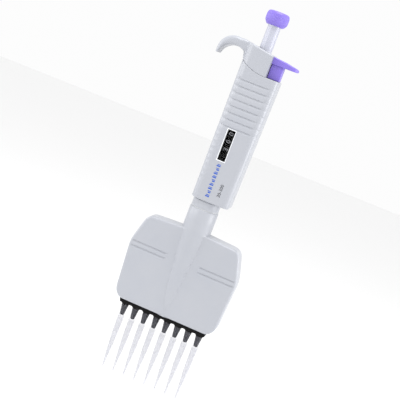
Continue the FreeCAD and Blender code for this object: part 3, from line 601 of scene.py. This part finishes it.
# circles as (x, z, radius); the arcs end at angles in degrees, and joins are places along x
hook = {"tip": 261.8, "crown": (-21.5, 264.4, 12.6), "arch": (-20.7, 258.3, 11.8), "archEnd": 38,
        "crownEnd": 80, "archJoin": -12.1, "crownJoin": -18.5, "inner": [(-12.0, 266.0), (-12.35, 264.6)],
        "topStart": -17, "topLeft": 276.4, "topRight": 272.6, "topMost": 276.9, "side": -12.5,
        "rightEnd": 8.7, "halfDepth": 8, "thinner": 3, "cornerRadius": 6, "bore": 6.7, "seamGap": 0.1,
        "lipStart": -34.2, "lipLength": 3.5, "widenFrom": -14.5, "widenOver": 4,
        "edge": 3.2, "blockEdge": 1.2, "seamEdge": 0.3, "edgeFrom": -16, "edgeOver": 6}


def arcPoints(circle, start, end, count):
    angle = np.radians(np.linspace(start, end, count))
    return np.stack([circle[0] + circle[2] * np.cos(angle), circle[1] + circle[2] * np.sin(angle)], -1)


def resample(line, count):
    # the same line with points evenly spaced along its length
    length = np.concatenate([[0], np.cumsum(np.linalg.norm(np.diff(line, axis=0), axis=1))])
    at = np.linspace(0, length[-1], count)
    return np.stack([np.interp(at, length, line[:, 0]), np.interp(at, length, line[:, 1])], -1)


def hookDepth(x):
    # the hook's own depth, widening into the block's round left corners, narrower at the lip: quarter
    # circles over the corner and the lip, and a smooth step from one depth to the other
    r = hook["cornerRadius"]
    corner = np.clip(x - hook["side"], 0, r)
    block = r + np.sqrt(np.clip(r ** 2 - (r - corner) ** 2, 0, None))
    lip = np.clip((x - hook["lipStart"]) / hook["lipLength"], 0, 1)
    thin = hook["halfDepth"] - hook["thinner"]
    arm = thin + hook["thinner"] * np.sqrt(np.clip(1 - (1 - lip) ** 2, 0, 1))
    share = np.clip((x - hook["widenFrom"]) / hook["widenOver"], 0, 1)
    share = share * share * (3 - 2 * share)
    return arm * (1 - share) + np.maximum(block, arm) * share


def makeHookCap():
    # lower line: arch of the hook, down the left side, then the seam; upper line: crown, then the top
    fine, sections, lipSections = 600, 90, 5
    crown, arch = hook["crown"], hook["arch"]
    archStart = 180 - math.degrees(math.asin((hook["tip"] - arch[1]) / arch[2]))
    crownStart = 180 + math.degrees(math.asin((crown[1] - hook["tip"]) / crown[2]))
    hookLow = arcPoints(arch, archStart, hook["archEnd"], 900)
    hookHigh = arcPoints(crown, crownStart, hook["crownEnd"], 900)
    seamX = np.linspace(hook["side"], hook["rightEnd"], fine)
    seam = np.stack([seamX, seamHeight(seamX, handle["seamRadius"] - hook["seamGap"])], -1)
    slope = (hook["topRight"] - hook["topLeft"]) / (hook["rightEnd"] - hook["side"])
    topX = np.linspace(hook["topStart"], hook["rightEnd"], fine)
    topZ = np.minimum(hook["topLeft"] + slope * (topX - hook["side"]), hook["topMost"])
    lower = np.concatenate([hookLow[hookLow[:, 0] < hook["archJoin"]], hook["inner"], seam])
    upper = np.concatenate([hookHigh[hookHigh[:, 0] < hook["crownJoin"]], np.stack([topX, topZ], -1)])
    lower, upper = resample(lower, sections), resample(upper, sections)
    # the lip: the first sections close in on the middle of the tip in a half round
    middle = (lower[0] + upper[0]) / 2
    turn = np.linspace(0.12, np.pi / 2, lipSections + 1)[:-1, None]
    reach = np.array([0, np.linalg.norm(upper[0] - lower[0]) / 2])
    lower, upper = [np.concatenate([middle + (line[0] - middle) * np.sin(turn) - reach * np.cos(turn), line])
                    for line in (lower, upper)]
    x = (lower[:, 0] + upper[:, 0]) / 2
    arm = 1 - np.clip((x - hook["edgeFrom"]) / hook["edgeOver"], 0, 1)
    lowRound = hook["seamEdge"] + arm * (hook["edge"] - hook["seamEdge"])
    highRound = hook["blockEdge"] + arm * (hook["edge"] - hook["blockEdge"])
    points, faces = loft(lower, upper, hookDepth, (lowRound, highRound), samples=30, across=8)
    piece = newPiece("hookCapShell", points, faces, casing, "handle")
    cutAway(piece, [cylinder(hook["bore"], 250, 285)])
    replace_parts(piece, "hook_cap")


pitch = 9
rowPlaces = [((i - 3.5) * pitch, 0) for i in range(8)]  # nozzles and tips, at the pitch of a well plate


module = {
    "outline": [(59, 37), (64, 42), (105, 44.4), (126, 38.5), (129.5, 35)],
    "footIn": 30, "topIn": 28, "cornerCut": (0, 2.4, 5, 4.5, 2.6, 2.6, 0),
    "halfDepth": 7.75, "edge": 1.9, "wall": 1.6, "parting": 0.06, "bulge": ((65, 7.75), (129.5, 11.3)),
    "fillet": 0.9, "grooves": (101.9, 105.8), "grooveWidth": 2.1, "grooveDepth": 0.75, "grooveStart": 13,
    "grooveFade": 1.5, "grooveMargin": 1.2, "neckHole": 9.3, "nozzleHole": 3.0,
    "crestRise": 0.9, "crestFall": 0.055, "crestFrom": 112,
}


def moduleWidth(z):
    # half width at each height, from an outline whose corners are rounded
    (foot, _), (top, _) = module["outline"][0], module["outline"][-1]
    line = [(module["footIn"], foot)] + [(w, h) for h, w in module["outline"]] + [(module["topIn"], top)]
    smooth = roundCorners(line, module["cornerCut"], 9, closed=False)
    keep = np.concatenate([[True], np.diff(smooth[:, 1]) > 1e-6])
    return np.interp(z, smooth[keep][:, 1], smooth[keep][:, 0])


def makeModuleShell(name, node, sign):
    # rows of heights by columns across: the face stands off by the half depth less a quarter-round
    # edge, and the cone of the neck swells out of its middle
    foot, top = module["outline"][0][0], module["outline"][-1][0]
    edge, rowStep = module["edge"], 1.2
    bend = edge * (1 - np.cos(np.linspace(0, np.pi / 2, 9)))
    dips = np.concatenate([g + grooveSection[0] * module["grooveWidth"] for g in module["grooves"]])
    below = np.arange(foot + edge + 1, 100, rowStep)
    above = np.arange(107, top - edge - 0.5, rowStep)
    z = np.sort(np.concatenate([foot + bend, below, above, dips, [103.5], top - bend]))[:, None]
    width = moduleWidth(z[:, 0])[:, None]
    flat = np.linspace(-1, 1, 121)[None, :] * (width - edge)
    x = np.concatenate([-width + bend[None, :-1], flat, width - bend[::-1][None, 1:]], 1)
    # near a corner both edges count, so their shortfalls add like the sides of a right angle
    short = np.sqrt(np.clip(edge - (width - np.abs(x)), 0, None) ** 2
                    + np.clip(edge - np.minimum(z - foot, top - z), 0, None) ** 2)
    plate = module["halfDepth"] - edge + np.sqrt(edge ** 2 - np.clip(short, 0, edge) ** 2)
    (lowZ, lowRadius), (highZ, highRadius) = module["bulge"]
    radius = lowRadius + (z - lowZ) / (highZ - lowZ) * (highRadius - lowRadius)
    cone = np.sqrt(np.clip(radius ** 2 - x ** 2, 0, None))
    # a smooth maximum of plate and cone leaves a soft fillet along the root: half their sum plus half
    # the root of their difference squared and the fillet squared
    fillet = module["fillet"]
    joined = (plate + cone + np.sqrt((plate - cone) ** 2 + fillet ** 2)) / 2
    height = np.where(np.abs(x) < radius, np.maximum(joined - fillet / 2 * (plate > cone), plate), plate)
    depth = np.zeros_like(z)
    for g in module["grooves"]:
        depth += np.interp((z - g) / module["grooveWidth"], *grooveSection)
    start, margin = module["grooveStart"], module["grooveMargin"]
    along = (np.clip((np.abs(x) - start) / module["grooveFade"], 0, 1)
             * np.clip((width - margin - np.abs(x)) / margin, 0, 1))
    height = height - module["grooveDepth"] * depth * along
    # the top row rises into a low crest at the neck
    crest = module["crestRise"] - module["crestFall"] * np.abs(x)
    crested = z + crest * np.clip((z - module["crestFrom"]) / (top - module["crestFrom"]), 0, 1) ** 2
    face = np.stack([x, -height, crested], -1)
    back = np.linspace(0, 1, 6)[:, None, None]

    def runBack(line):
        # the walls, top and foot run back from the face to the parting line
        return (line * np.array([1, 0, 1])
                + np.array([0, 1, 0]) * (line[..., 1:2] * back - module["parting"] * (1 - back)))

    leftWall, rightWall = runBack(face[:, 0]), runBack(face[:, -1])[::-1]
    patches = [np.concatenate([leftWall[:-1].swapaxes(0, 1), face, rightWall[1:].swapaxes(0, 1)], 1),
               runBack(face[-1])[::-1], runBack(face[0])]
    parts = []
    for patch in patches:
        quads = gridFaces(*patch.shape[:2], wrap=False)
        parts.append((patch * np.array([1, -sign, 1]), (quads[:, ::-1] if sign > 0 else quads).tolist()))
    points, faces = mergeParts(parts)
    piece = newPiece(name, points, faces, casing, "module", closed=False)
    closeSeams(piece)
    thick = piece.modifiers.new("wall", "SOLIDIFY")
    thick.thickness = module["wall"] * mm
    thick.offset = -1
    applyModifiers(piece)
    holes = [cylinder(module["nozzleHole"], 50, 64, place, 32) for place in rowPlaces]
    if sign > 0:
        hole = cylinder(screws["hole"], 4, 9, columns=40)
        holes += [layDown(hole, [0, 2, 1], place) for place in screws["places"]]
    cutAway(piece, [cylinder(module["neckHole"], 120, 140)] + holes)
    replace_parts(piece, node)


screws = {"places": [(-30, 0, 96), (-30, 0, 116), (30, 0, 96), (30, 0, 116)], "radius": 1.65, "hole": 1.72,
          "foot": 5.95, "face": 7.6, "edgeAcross": 0.2, "edgeDown": 0.18, "slotLength": 1.0, "slotWidth": 0.2,
          "slotDepth": 0.7}


def makeScrews():
    # turned heads with a broken edge, laid along the depth, with a cross cut into each
    r, foot, face = screws["radius"], screws["foot"], screws["face"]
    shoulder, rim = face - screws["edgeDown"], r - screws["edgeAcross"]
    head = lathe([(0, foot), (r, foot), (r, shoulder), (rim, face), (0, face)], 40)
    points, faces = mergeParts([layDown(head, [0, 2, 1], place) for place in screws["places"]])
    piece = newPiece("casingScrews", points, faces, groundSteel, "module")
    reach, narrow, deep = screws["slotLength"], screws["slotWidth"], face - screws["slotDepth"]
    for x, _, z in screws["places"]:
        # the second bar of each cross goes a hair deeper, so that the two floors don't coincide
        cutAway(piece, [box((x - reach, deep, z - narrow), (x + reach, 9, z + narrow)),
                        box((x - narrow, deep - 0.02, z - reach), (x + narrow, 9, z + reach))])
    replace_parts(piece, "module_screws")


neck = {"foot": 129.3, "top": 148.0, "radius": 11.3, "spigotFoot": 126, "spigot": 9.2, "bore": 8.5,
        "boreTop": 145.1, "swivelBore": 6.6}
shim = {"bore": 6.5, "radius": 10.6, "thickness": 0.2}


def makeNeck():
    # turned tube: a spigot into the lower module, then the wall up to the swivel and its thin shim
    r, top, bore, swivel = neck["radius"], neck["top"], neck["bore"], neck["swivelBore"]
    foot, spigot, spigotFoot = neck["foot"], neck["spigot"], neck["spigotFoot"]
    profile = [(bore, spigotFoot), (spigot, spigotFoot), (spigot, foot), (r, foot), (r, 138),
               (r, top - 1.0), (r - 0.08, top - 0.85), (r - 0.62, top), (8.0, top), (swivel, top),
               (swivel, neck["boreTop"]), (bore, neck["boreTop"])]
    points, faces = lathe(profile, 128)
    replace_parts(newPiece("neckBarrel", points, faces, casing, "module"), "neck_tube")
    inner, outer, high = shim["bore"], shim["radius"], top + shim["thickness"]
    points, faces = lathe([(inner, top), (outer, top), (outer, high), (inner, high)], 96)
    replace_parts(newPiece("swivelShim", points, faces, whiteAcetal, "handle"), "swivel_washer")


ringSizes = {"foot": 148.2, "top": 155, "radius": 10.85, "bore": 6.5, "bevel": 0.15, "step": 0.5}


def makeCouplingRing():
    # turned ring with a small rounded bevel below and a step at its top
    r, bevel, step = ringSizes["radius"], ringSizes["bevel"], ringSizes["step"]
    foot, top, bore = ringSizes["foot"], ringSizes["top"], ringSizes["bore"]
    turn = np.linspace(0, np.pi / 2, 6)
    lowEdge = [(r - bevel + bevel * math.sin(a), foot + bevel * (1 - math.cos(a))) for a in turn]
    highEdge = [(r, top - 0.9), (r - step, top - 0.5), (r - step, top)]
    profile = [(bore, foot)] + lowEdge + [(r, 151.5)] + highEdge + [(bore, top)]
    points, faces = lathe(profile, 128)
    piece = newPiece("swivelRing", points, faces, casing, "handle")
    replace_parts(piece, "coupling_ring")


button = {"foot": 293, "top": 303.5, "radius": 8.7, "stem": 4.95, "socket": 5.5, "knurls": 56,
          "knurlDepth": 0.1, "knurlFrom": 2.2, "knurlTo": 1.7, "knurlFade": 1.2}


def makeButton():
    # turned cap with a barrel whose radius swings with the angle, as a fine straight knurl
    foot, top, r, stem = button["foot"], button["top"], button["radius"], button["stem"]
    outline = [(stem, foot), (6.5, foot), (8.5, foot + 2.6), (r, foot + 5.4), (8.55, top - 2.0), (7.4, top),
               (0, top)]
    curve = roundCorners(outline, [0, 0.9, 1.6, 1.5, 1.6, 1.8, 0], 9, closed=False)
    inner = [(0, top - button["socket"]), (stem, top - button["socket"])]

    def knurl(z, angle):
        fade = button["knurlFade"]
        band = (np.clip((z - foot - button["knurlFrom"]) / fade, 0, 1)
                * np.clip((top - button["knurlTo"] - z) / fade, 0, 1))
        return button["knurlDepth"] * band * (np.cos(button["knurls"] * angle) - 1)

    points, faces = lathe(inner + curve.tolist(), button["knurls"] * 6, ripple=knurl)
    piece = newPiece("thumbButton", points, faces, lavender, "plunger", sharp=50)
    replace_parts(piece, "push_button")


def slab(name, outline, half, bevel, material, body, middle=0):
    # an outline in the x-z plane carried along y to both sides of its middle, its edges rounded by a bevel
    outline = np.array(outline, float)
    count = len(outline)
    near, far = [np.stack([outline[:, 0], np.full(count, middle + reach), outline[:, 1]], -1)
                 for reach in (-half, half)]
    index = np.arange(count)
    after = (index + 1) % count
    faces = np.stack([index, after, after + count, index + count], -1).tolist()
    faces += [index[::-1].tolist(), (index + count).tolist()]
    piece = newPiece(name, np.concatenate([near, far]), faces, material, body)
    rounding = piece.modifiers.new("edge", "BEVEL")
    rounding.width = bevel * mm
    rounding.segments = 4
    rounding.limit_method = "ANGLE"
    rounding.angle_limit = math.radians(40)
    applyModifiers(piece)
    return piece


knob = {"left": 8.75, "shelf": 266.9, "right": 28.9, "halfDepth": 6.4, "rootRound": 0.5, "noseRound": 1.6,
        "topX": (8.75, 12, 19, 28.0, 29), "topZ": (272.1, 271.95, 271.25, 269.45, 269.1), "droopFrom": 24,
        "noseFrom": 1.3, "narrowFrom": 6, "footEdge": 0.35, "block": (9.05, 18.25, 256.1), "blockHalf": 5.4,
        "rodHole": 1.85}


def makeKnob():
    # thumb lever drawn in side view and lofted from its root to a rounded tip, over a square block
    shelf, left, right = knob["shelf"], knob["left"], knob["right"]
    root, end = knob["rootRound"], knob["noseRound"]
    x = np.concatenate([left + root * (1 - np.cos(np.linspace(0, np.pi / 2, 5))),
                        np.linspace(left + 1, right - end, 40),
                        right - end * (1 - np.sin(np.linspace(0.1, np.pi / 2, 9)))])
    topLine = np.interp(x, knob["topX"], knob["topZ"])
    droop = np.clip((x - knob["droopFrom"]) / 5, 0, 1)
    footLine = shelf + 0.25 * droop ** 2
    # the nose: both lines close on the middle as a quarter ellipse
    nose = np.clip((x - (right - knob["noseFrom"])) / knob["noseFrom"], 0, 1)
    middle = (topLine + footLine) / 2 - 0.1
    shrink = np.sqrt(np.clip(1 - nose ** 2, 0.02, 1))
    lower, upper = [np.stack([x, middle + (line - middle) * shrink], -1) for line in (footLine, topLine)]
    narrow = np.clip((x - (right - knob["narrowFrom"])) / knob["narrowFrom"], 0, 1)
    half = knob["halfDepth"] * np.sqrt(np.clip(1 - 0.82 * narrow ** 2.6, 0.02, 1))
    rounding = 0.25 + 0.75 * np.clip((x - left) / 3, 0, 1)
    footRound = np.full(len(x), knob["footEdge"])
    points, faces = loft(lower, upper, half, (footRound, rounding), samples=18, across=9)
    lever = newPiece("thumbLever", points, faces, lavender, "ejector")
    blockLeft, blockRight, blockFoot = knob["block"]
    blockTop = shelf + 0.3  # just inside the lever
    outline = [(blockLeft, blockFoot), (blockRight, blockFoot), (blockRight, blockTop), (blockLeft, blockTop)]
    block = slab("leverBlock", outline, knob["blockHalf"], 0.35, lavender, "ejector")
    cutAway(block, [cylinder(knob["rodHole"], 250, 262.2, rodAxis, 32)])
    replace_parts(lever, "ejector_knob")
    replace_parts(block, "ejector_knob")


comb = {"foot": 56, "top": 58.8, "half": 36.5, "taper": 0.95, "halfDepth": 5.2, "edge": 0.3, "collar": 3.5,
        "collarFoot": 54.5, "collarEdge": 0.2, "hole": 3.0}


def makeComb():
    # strip with ends cut on a slant, and a short collar over each nozzle
    foot, top, half, hole = comb["foot"], comb["top"], comb["half"], comb["hole"]
    narrow = half - comb["taper"]
    strip = slab("combStrip", [(-narrow, foot), (narrow, foot), (half, top), (-half, top)],
                 comb["halfDepth"], comb["edge"], blackNylon, "comb")
    cutAway(strip, [cylinder(hole, 50, 64, place, 40) for place in rowPlaces])
    low, edge, collar = comb["collarFoot"], comb["collarEdge"], comb["collar"]
    profile = [(hole, low), (collar - edge, low), (collar, low + edge), (collar, foot + edge),
               (hole, foot + edge)]
    points, faces = mergeParts([lathe(profile, 48, place) for place in rowPlaces])
    collars = newPiece("combCollars", points, faces, blackNylon, "comb")
    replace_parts(strip, "ejector_comb")
    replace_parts(collars, "ejector_comb")


nozzleSizes = {"foot": 45.3, "endRadius": 1.65, "radius": 2.75, "tipTop": 54.3, "stubFoot": 60, "top": 66,
               "bore": 0.8, "beads": (51.2, 53), "beadHeight": 0.05, "waist": 50.1,
               "waistDepth": 0.16, "waistHalf": 0.3}


def makeNozzles():
    # a cone with two shallow sealing beads over a narrow waist, and a straight stub into the block:
    # each bead is a bell curve of the height, and the waist a flat-topped one taken away
    n = nozzleSizes
    slope = (n["radius"] - n["endRadius"]) / (n["tipTop"] - n["foot"])
    z = np.sort(np.concatenate([np.linspace(n["foot"] + 0.3, n["tipTop"], 30), [48.0, 50.2]]))
    bead = n["beadHeight"] * sum(np.exp(-((z - height) / 0.35) ** 2) for height in n["beads"])
    waist = n["waistDepth"] * np.exp(-((z - n["waist"]) / n["waistHalf"]) ** 4)
    r = n["endRadius"] + slope * (z - n["foot"]) + bead - waist
    end, foot = n["endRadius"], n["foot"]
    profile = [(n["bore"], foot), (end - 0.25, foot), (end - 0.05, foot + 0.12)]
    profile += np.stack([np.minimum(r, n["radius"]), z], -1).tolist()
    profile += [(n["radius"], n["stubFoot"]), (n["radius"], n["top"]), (n["bore"], n["top"])]
    for i, place in enumerate(rowPlaces, 1):
        points, faces = lathe(profile, 48, place)
        piece = newPiece("nozzleCone%d" % i, points, faces, nozzleNylon, "module")
        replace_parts(piece, "nozzle_%d" % i)


# outlines as (radius, height): up the outside from the point, then down the inside
tip = {
    "outer": [(0.42, 0), (0.75, 0), (0.92, 0.12), (0.97, 0.5), (1.35, 9), (1.75, 13), (2.12, 19), (2.5, 25),
              (2.66, 34), (2.8, 42.6), (2.85, 43.0), (3.2, 43.5), (3.38, 43.9), (3.42, 45), (3.44, 48),
              (3.46, 51), (3.48, 53.2), (3.48, 54.0), (3.38, 54.3)],
    "inner": [(2.86, 54.3), (2.81, 54.1), (2.3, 43.6), (1.95, 25), (1.3, 13), (0.9, 9), (0.42, 0.3)],
    "ribFoot": 43.7, "ribFade": 0.8, "ribTop": 54.2, "ribs": 12, "ribHeight": 0.14,
}


def makeTips():
    # thin cone, inside and out, under a collar whose outer wall swings with the angle as upright ribs
    outer, inner = tip["outer"], tip["inner"]
    outside = np.concatenate([np.ones(len(outer)), np.zeros(len(inner))])[:, None]

    def ribs(z, angle):
        band = np.clip((z - tip["ribFoot"]) / tip["ribFade"], 0, 1) * np.clip(tip["ribTop"] - z, 0, 1)
        return tip["ribHeight"] * outside * band * (np.cos(tip["ribs"] * angle) - 1)

    for i, place in enumerate(rowPlaces, 1):
        points, faces = lathe(outer + inner, 72, place, ripple=ribs)
        piece = newPiece("clearTip%d" % i, points, faces, clearPp, "tip_set", sharp=60)
        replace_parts(piece, "tip_%d" % i)


# coil and wire are radii, and travel is how far the upper end comes down
springs = {
    "returnCoil": {"node": "return_spring", "body": "volume_adjuster", "joint": "plunger_slide",
                   "centre": (0, 0), "coil": 6.6, "wire": 0.45, "foot": 218, "top": 248.5, "turns": 9,
                   "travel": 15.6},
    "blowoutCoil": {"node": "blowout_spring", "body": "volume_adjuster", "joint": "blowout_slide",
                    "centre": (0, 0), "coil": 4.6, "wire": 0.65, "foot": 218, "top": 233.4, "turns": 6,
                    "travel": 3.0},
    "ejectorCoil": {"node": "ejector_spring", "body": "handle", "joint": "ejector_slide",
                    "centre": rodAxis, "coil": 2.4, "wire": 0.35, "foot": 200, "top": 240, "turns": 16,
                    "travel": 10.0},
}


def makeSprings():
    # round wire on a helix: the angle round the coil and the height grow together, and the wire's own
    # circle stands in the plane of the coil's radius and its axis
    wireSides, turnSteps = 12, 28
    for name, s in springs.items():
        wire, foot, height = s["wire"], s["foot"], s["top"] - s["foot"]
        centre = s["centre"][0]
        along = np.linspace(0, 1, s["turns"] * turnSteps + 1)[:, None]
        angle = along * s["turns"] * 2 * np.pi
        around = np.linspace(0, 2 * np.pi, wireSides, endpoint=False)[None, :]
        reach = s["coil"] + wire * np.cos(around)
        points = np.stack([centre + reach * np.cos(angle), reach * np.sin(angle),
                           foot + wire + along * (height - 2 * wire) + wire * np.sin(around)], -1)
        last = (len(points) - 1) * wireSides
        ends = [list(range(wireSides))[::-1], list(range(last, last + wireSides))]
        faces = gridFaces(len(points), wireSides).tolist() + ends
        piece = newPiece(name, points, faces, groundSteel, s["body"])
        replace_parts(piece, s["node"])
        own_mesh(piece)


window = {"half": 3.05, "border": 0.57, "foot": 187.5, "top": 211.5, "front": -12.15, "back": -9.75,
          "edge": 0.08, "corner": 0.25, "paneMiddle": -11.15, "paneHalf": 0.35, "paneGap": 0.05,
          "paneEdge": 0.12}


def makeWindow():
    # frame of four mitred rails whose front edges are rounded, with a clear pane set back in it
    half, foot, top, front, back = [window[key] for key in ("half", "foot", "top", "front", "back")]
    border, edge, corner = window["border"], window["edge"], window["corner"]
    outside = border - 0.02
    section = [(0.0, back), (0.0, front + corner), (edge, front + edge), (corner, front),
               (border - 0.3, front), (border - edge, front + edge), (outside, front + 0.3), (outside, back)]
    loops = np.array([[(-half - out, y, foot - out), (half + out, y, foot - out),
                       (half + out, y, top + out), (-half - out, y, top + out)] for out, y in section])
    # the last loop joins the first, which closes the section of each rail
    faces = gridFaces(len(section), 4).tolist()
    last = (len(section) - 1) * 4
    faces += [[last + i, last + (i + 1) % 4, (i + 1) % 4, i] for i in range(4)]
    # the rails take the near-white frame colour, a painted highlight along the window's rim
    rim = newPiece("windowRim", loops, faces, rimHighlightFrame, "handle")
    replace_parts(rim, "window_frame")
    across, low, high = half - window["paneGap"], foot + window["paneGap"], top - window["paneGap"]
    pane = slab("windowPane", [(-across, low), (across, low), (across, high), (-across, high)],
                window["paneHalf"], window["paneEdge"], lensClear, "handle", window["paneMiddle"])
    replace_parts(pane, "window_lens")


# each cell has its place from the window's foot up; a drum also has the digit that it shows and the
# step from one of its ten digits to the next
drums = {"radius": 9.3, "bore": 5.95, "pitch": 6, "gap": 0.12, "edge": 0.08, "digit": 3.4, "proud": 0.02,
         "cells": {"blankRing": {"node": "counter_spacer", "body": "handle", "place": 0},
                   "hundredsRing": {"node": "hundreds_drum", "body": "hundreds", "place": 1, "shown": 3,
                                    "step": 1},
                   "tensRing": {"node": "tens_drum", "body": "tens", "place": 2, "shown": 0, "step": 1},
                   "unitsRing": {"node": "units_drum", "body": "units", "place": 3, "shown": 0, "step": 2}}}


def glyphMesh(text, height, thicker=0.0):
    # text made a mesh: points (across, up) in millimetres about its own middle
    capital = 0.7  # the height of a digit as part of the text size
    curve = bpy.data.curves.new("glyph", "FONT")
    curve.body = text
    curve.align_x = "CENTER"
    curve.resolution_u = 6
    curve.offset = thicker
    holder = bpy.data.objects.new("glyph", curve)
    bpy.context.scene.collection.objects.link(holder)
    bpy.context.view_layer.update()
    mesh = bpy.data.meshes.new_from_object(holder.evaluated_get(bpy.context.evaluated_depsgraph_get()))
    points = np.empty(len(mesh.vertices) * 3)
    mesh.vertices.foreach_get("co", points)
    points = points.reshape(-1, 3)[:, :2]
    faces = [list(p.vertices) for p in mesh.polygons]
    bpy.data.objects.remove(holder)
    bpy.data.curves.remove(curve)
    bpy.data.meshes.remove(mesh)
    middle = (points.max(0) + points.min(0)) / 2
    return (points - middle) * height / capital, faces


def makeDrums():
    # turned rings, with ten digits wrapped round each drum: up the digit is back round the drum
    r, bore, edge = drums["radius"], drums["bore"], drums["edge"]
    for name, cell in drums["cells"].items():
        foot = window["foot"] + cell["place"] * drums["pitch"] + drums["gap"] / 2
        top = foot + drums["pitch"] - drums["gap"]
        profile = [(bore, foot), (r - edge, foot), (r, foot + edge), (r, top - edge), (r - edge, top),
                   (bore, top)]
        points, faces = lathe(profile, 120)
        ring = newPiece(name, points, faces, drumBlack, cell["body"])
        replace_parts(ring, cell["node"])
        if "shown" not in cell:
            continue
        parts = []
        reach = r + drums["proud"]
        for k in range(10):
            flat, glyphFaces = glyphMesh(str(k * cell["step"] % 10), drums["digit"], 0.01)
            angle = -np.pi / 2 + ((cell["shown"] - k) % 10) * np.pi / 5 - flat[:, 1] / r
            parts.append((np.stack([reach * np.cos(angle), reach * np.sin(angle),
                                    (foot + top) / 2 + flat[:, 0]], -1), glyphFaces))
        points, faces = mergeParts(parts)
        digits = newPiece(name + "Digits", points, faces, digitGrey, cell["body"], closed=False)
        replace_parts(digits, cell["node"])


# a bar runs from and to parts of its block's height, and its left end is set in
marks = {"front": -12.02, "left": -1.5, "right": 1.5, "foot": 158.5, "top": 185.5, "blocks": 9, "ink": 0.04,
         "wide": (0.12, 0.42, 0), "notched": (0.12, 0.42, 0.9), "thin": (0.55, 0.72, 0.4),
         "range": "30-300", "rangeX": 8.0, "rangeZ": 166.5, "rangeSize": 2.5}


def printed(name, points, faces, ink):
    # a print is a thin skin just proud of the wall
    piece = newPiece(name, points, faces, ink, "handle", closed=False)
    thick = piece.modifiers.new("ink", "SOLIDIFY")
    thick.thickness = marks["ink"] * mm
    thick.offset = 1
    applyModifiers(piece)


def makeMarks():
    # a plain row of bars in two widths, then the volume range in digits that read upward
    step = (marks["top"] - marks["foot"]) / marks["blocks"]
    front, right = marks["front"], marks["right"]
    parts = []
    for k in range(marks["blocks"]):
        # every third block has its first bar cut short
        for start, end, inset in (marks["notched" if k % 3 == 1 else "wide"], marks["thin"]):
            left = marks["left"] + inset
            low, high = [marks["foot"] + (k + part) * step for part in (start, end)]
            corners = [(left, front, low), (right, front, low), (right, front, high), (left, front, high)]
            parts.append((corners, [[0, 1, 2, 3]]))
    points, faces = mergeParts(parts)
    printed("scaleBars", points, faces, blueInk)
    flat, faces = glyphMesh(marks["range"], marks["rangeSize"])
    across, up = flat[:, 0], flat[:, 1]
    points = np.stack([marks["rangeX"] - up, np.full(len(flat), front), marks["rangeZ"] + across], -1)
    printed("rangeDigits", points, faces, darkInk)


makeHandle()
print("handle made")
makeHookCap()
print("hook cap made")
makeModuleShell("frontShell", "module_front_shell", -1)
makeModuleShell("backShell", "module_back_shell", 1)
makeScrews()
makeNeck()
makeCouplingRing()
print("lower module made")
makeButton()
makeKnob()
print("button and lever made")
makeComb()
makeNozzles()
makeTips()
print("comb, nozzles and tips made")
makeSprings()
makeWindow()
makeDrums()
makeMarks()
print("springs, window, counter and prints made")
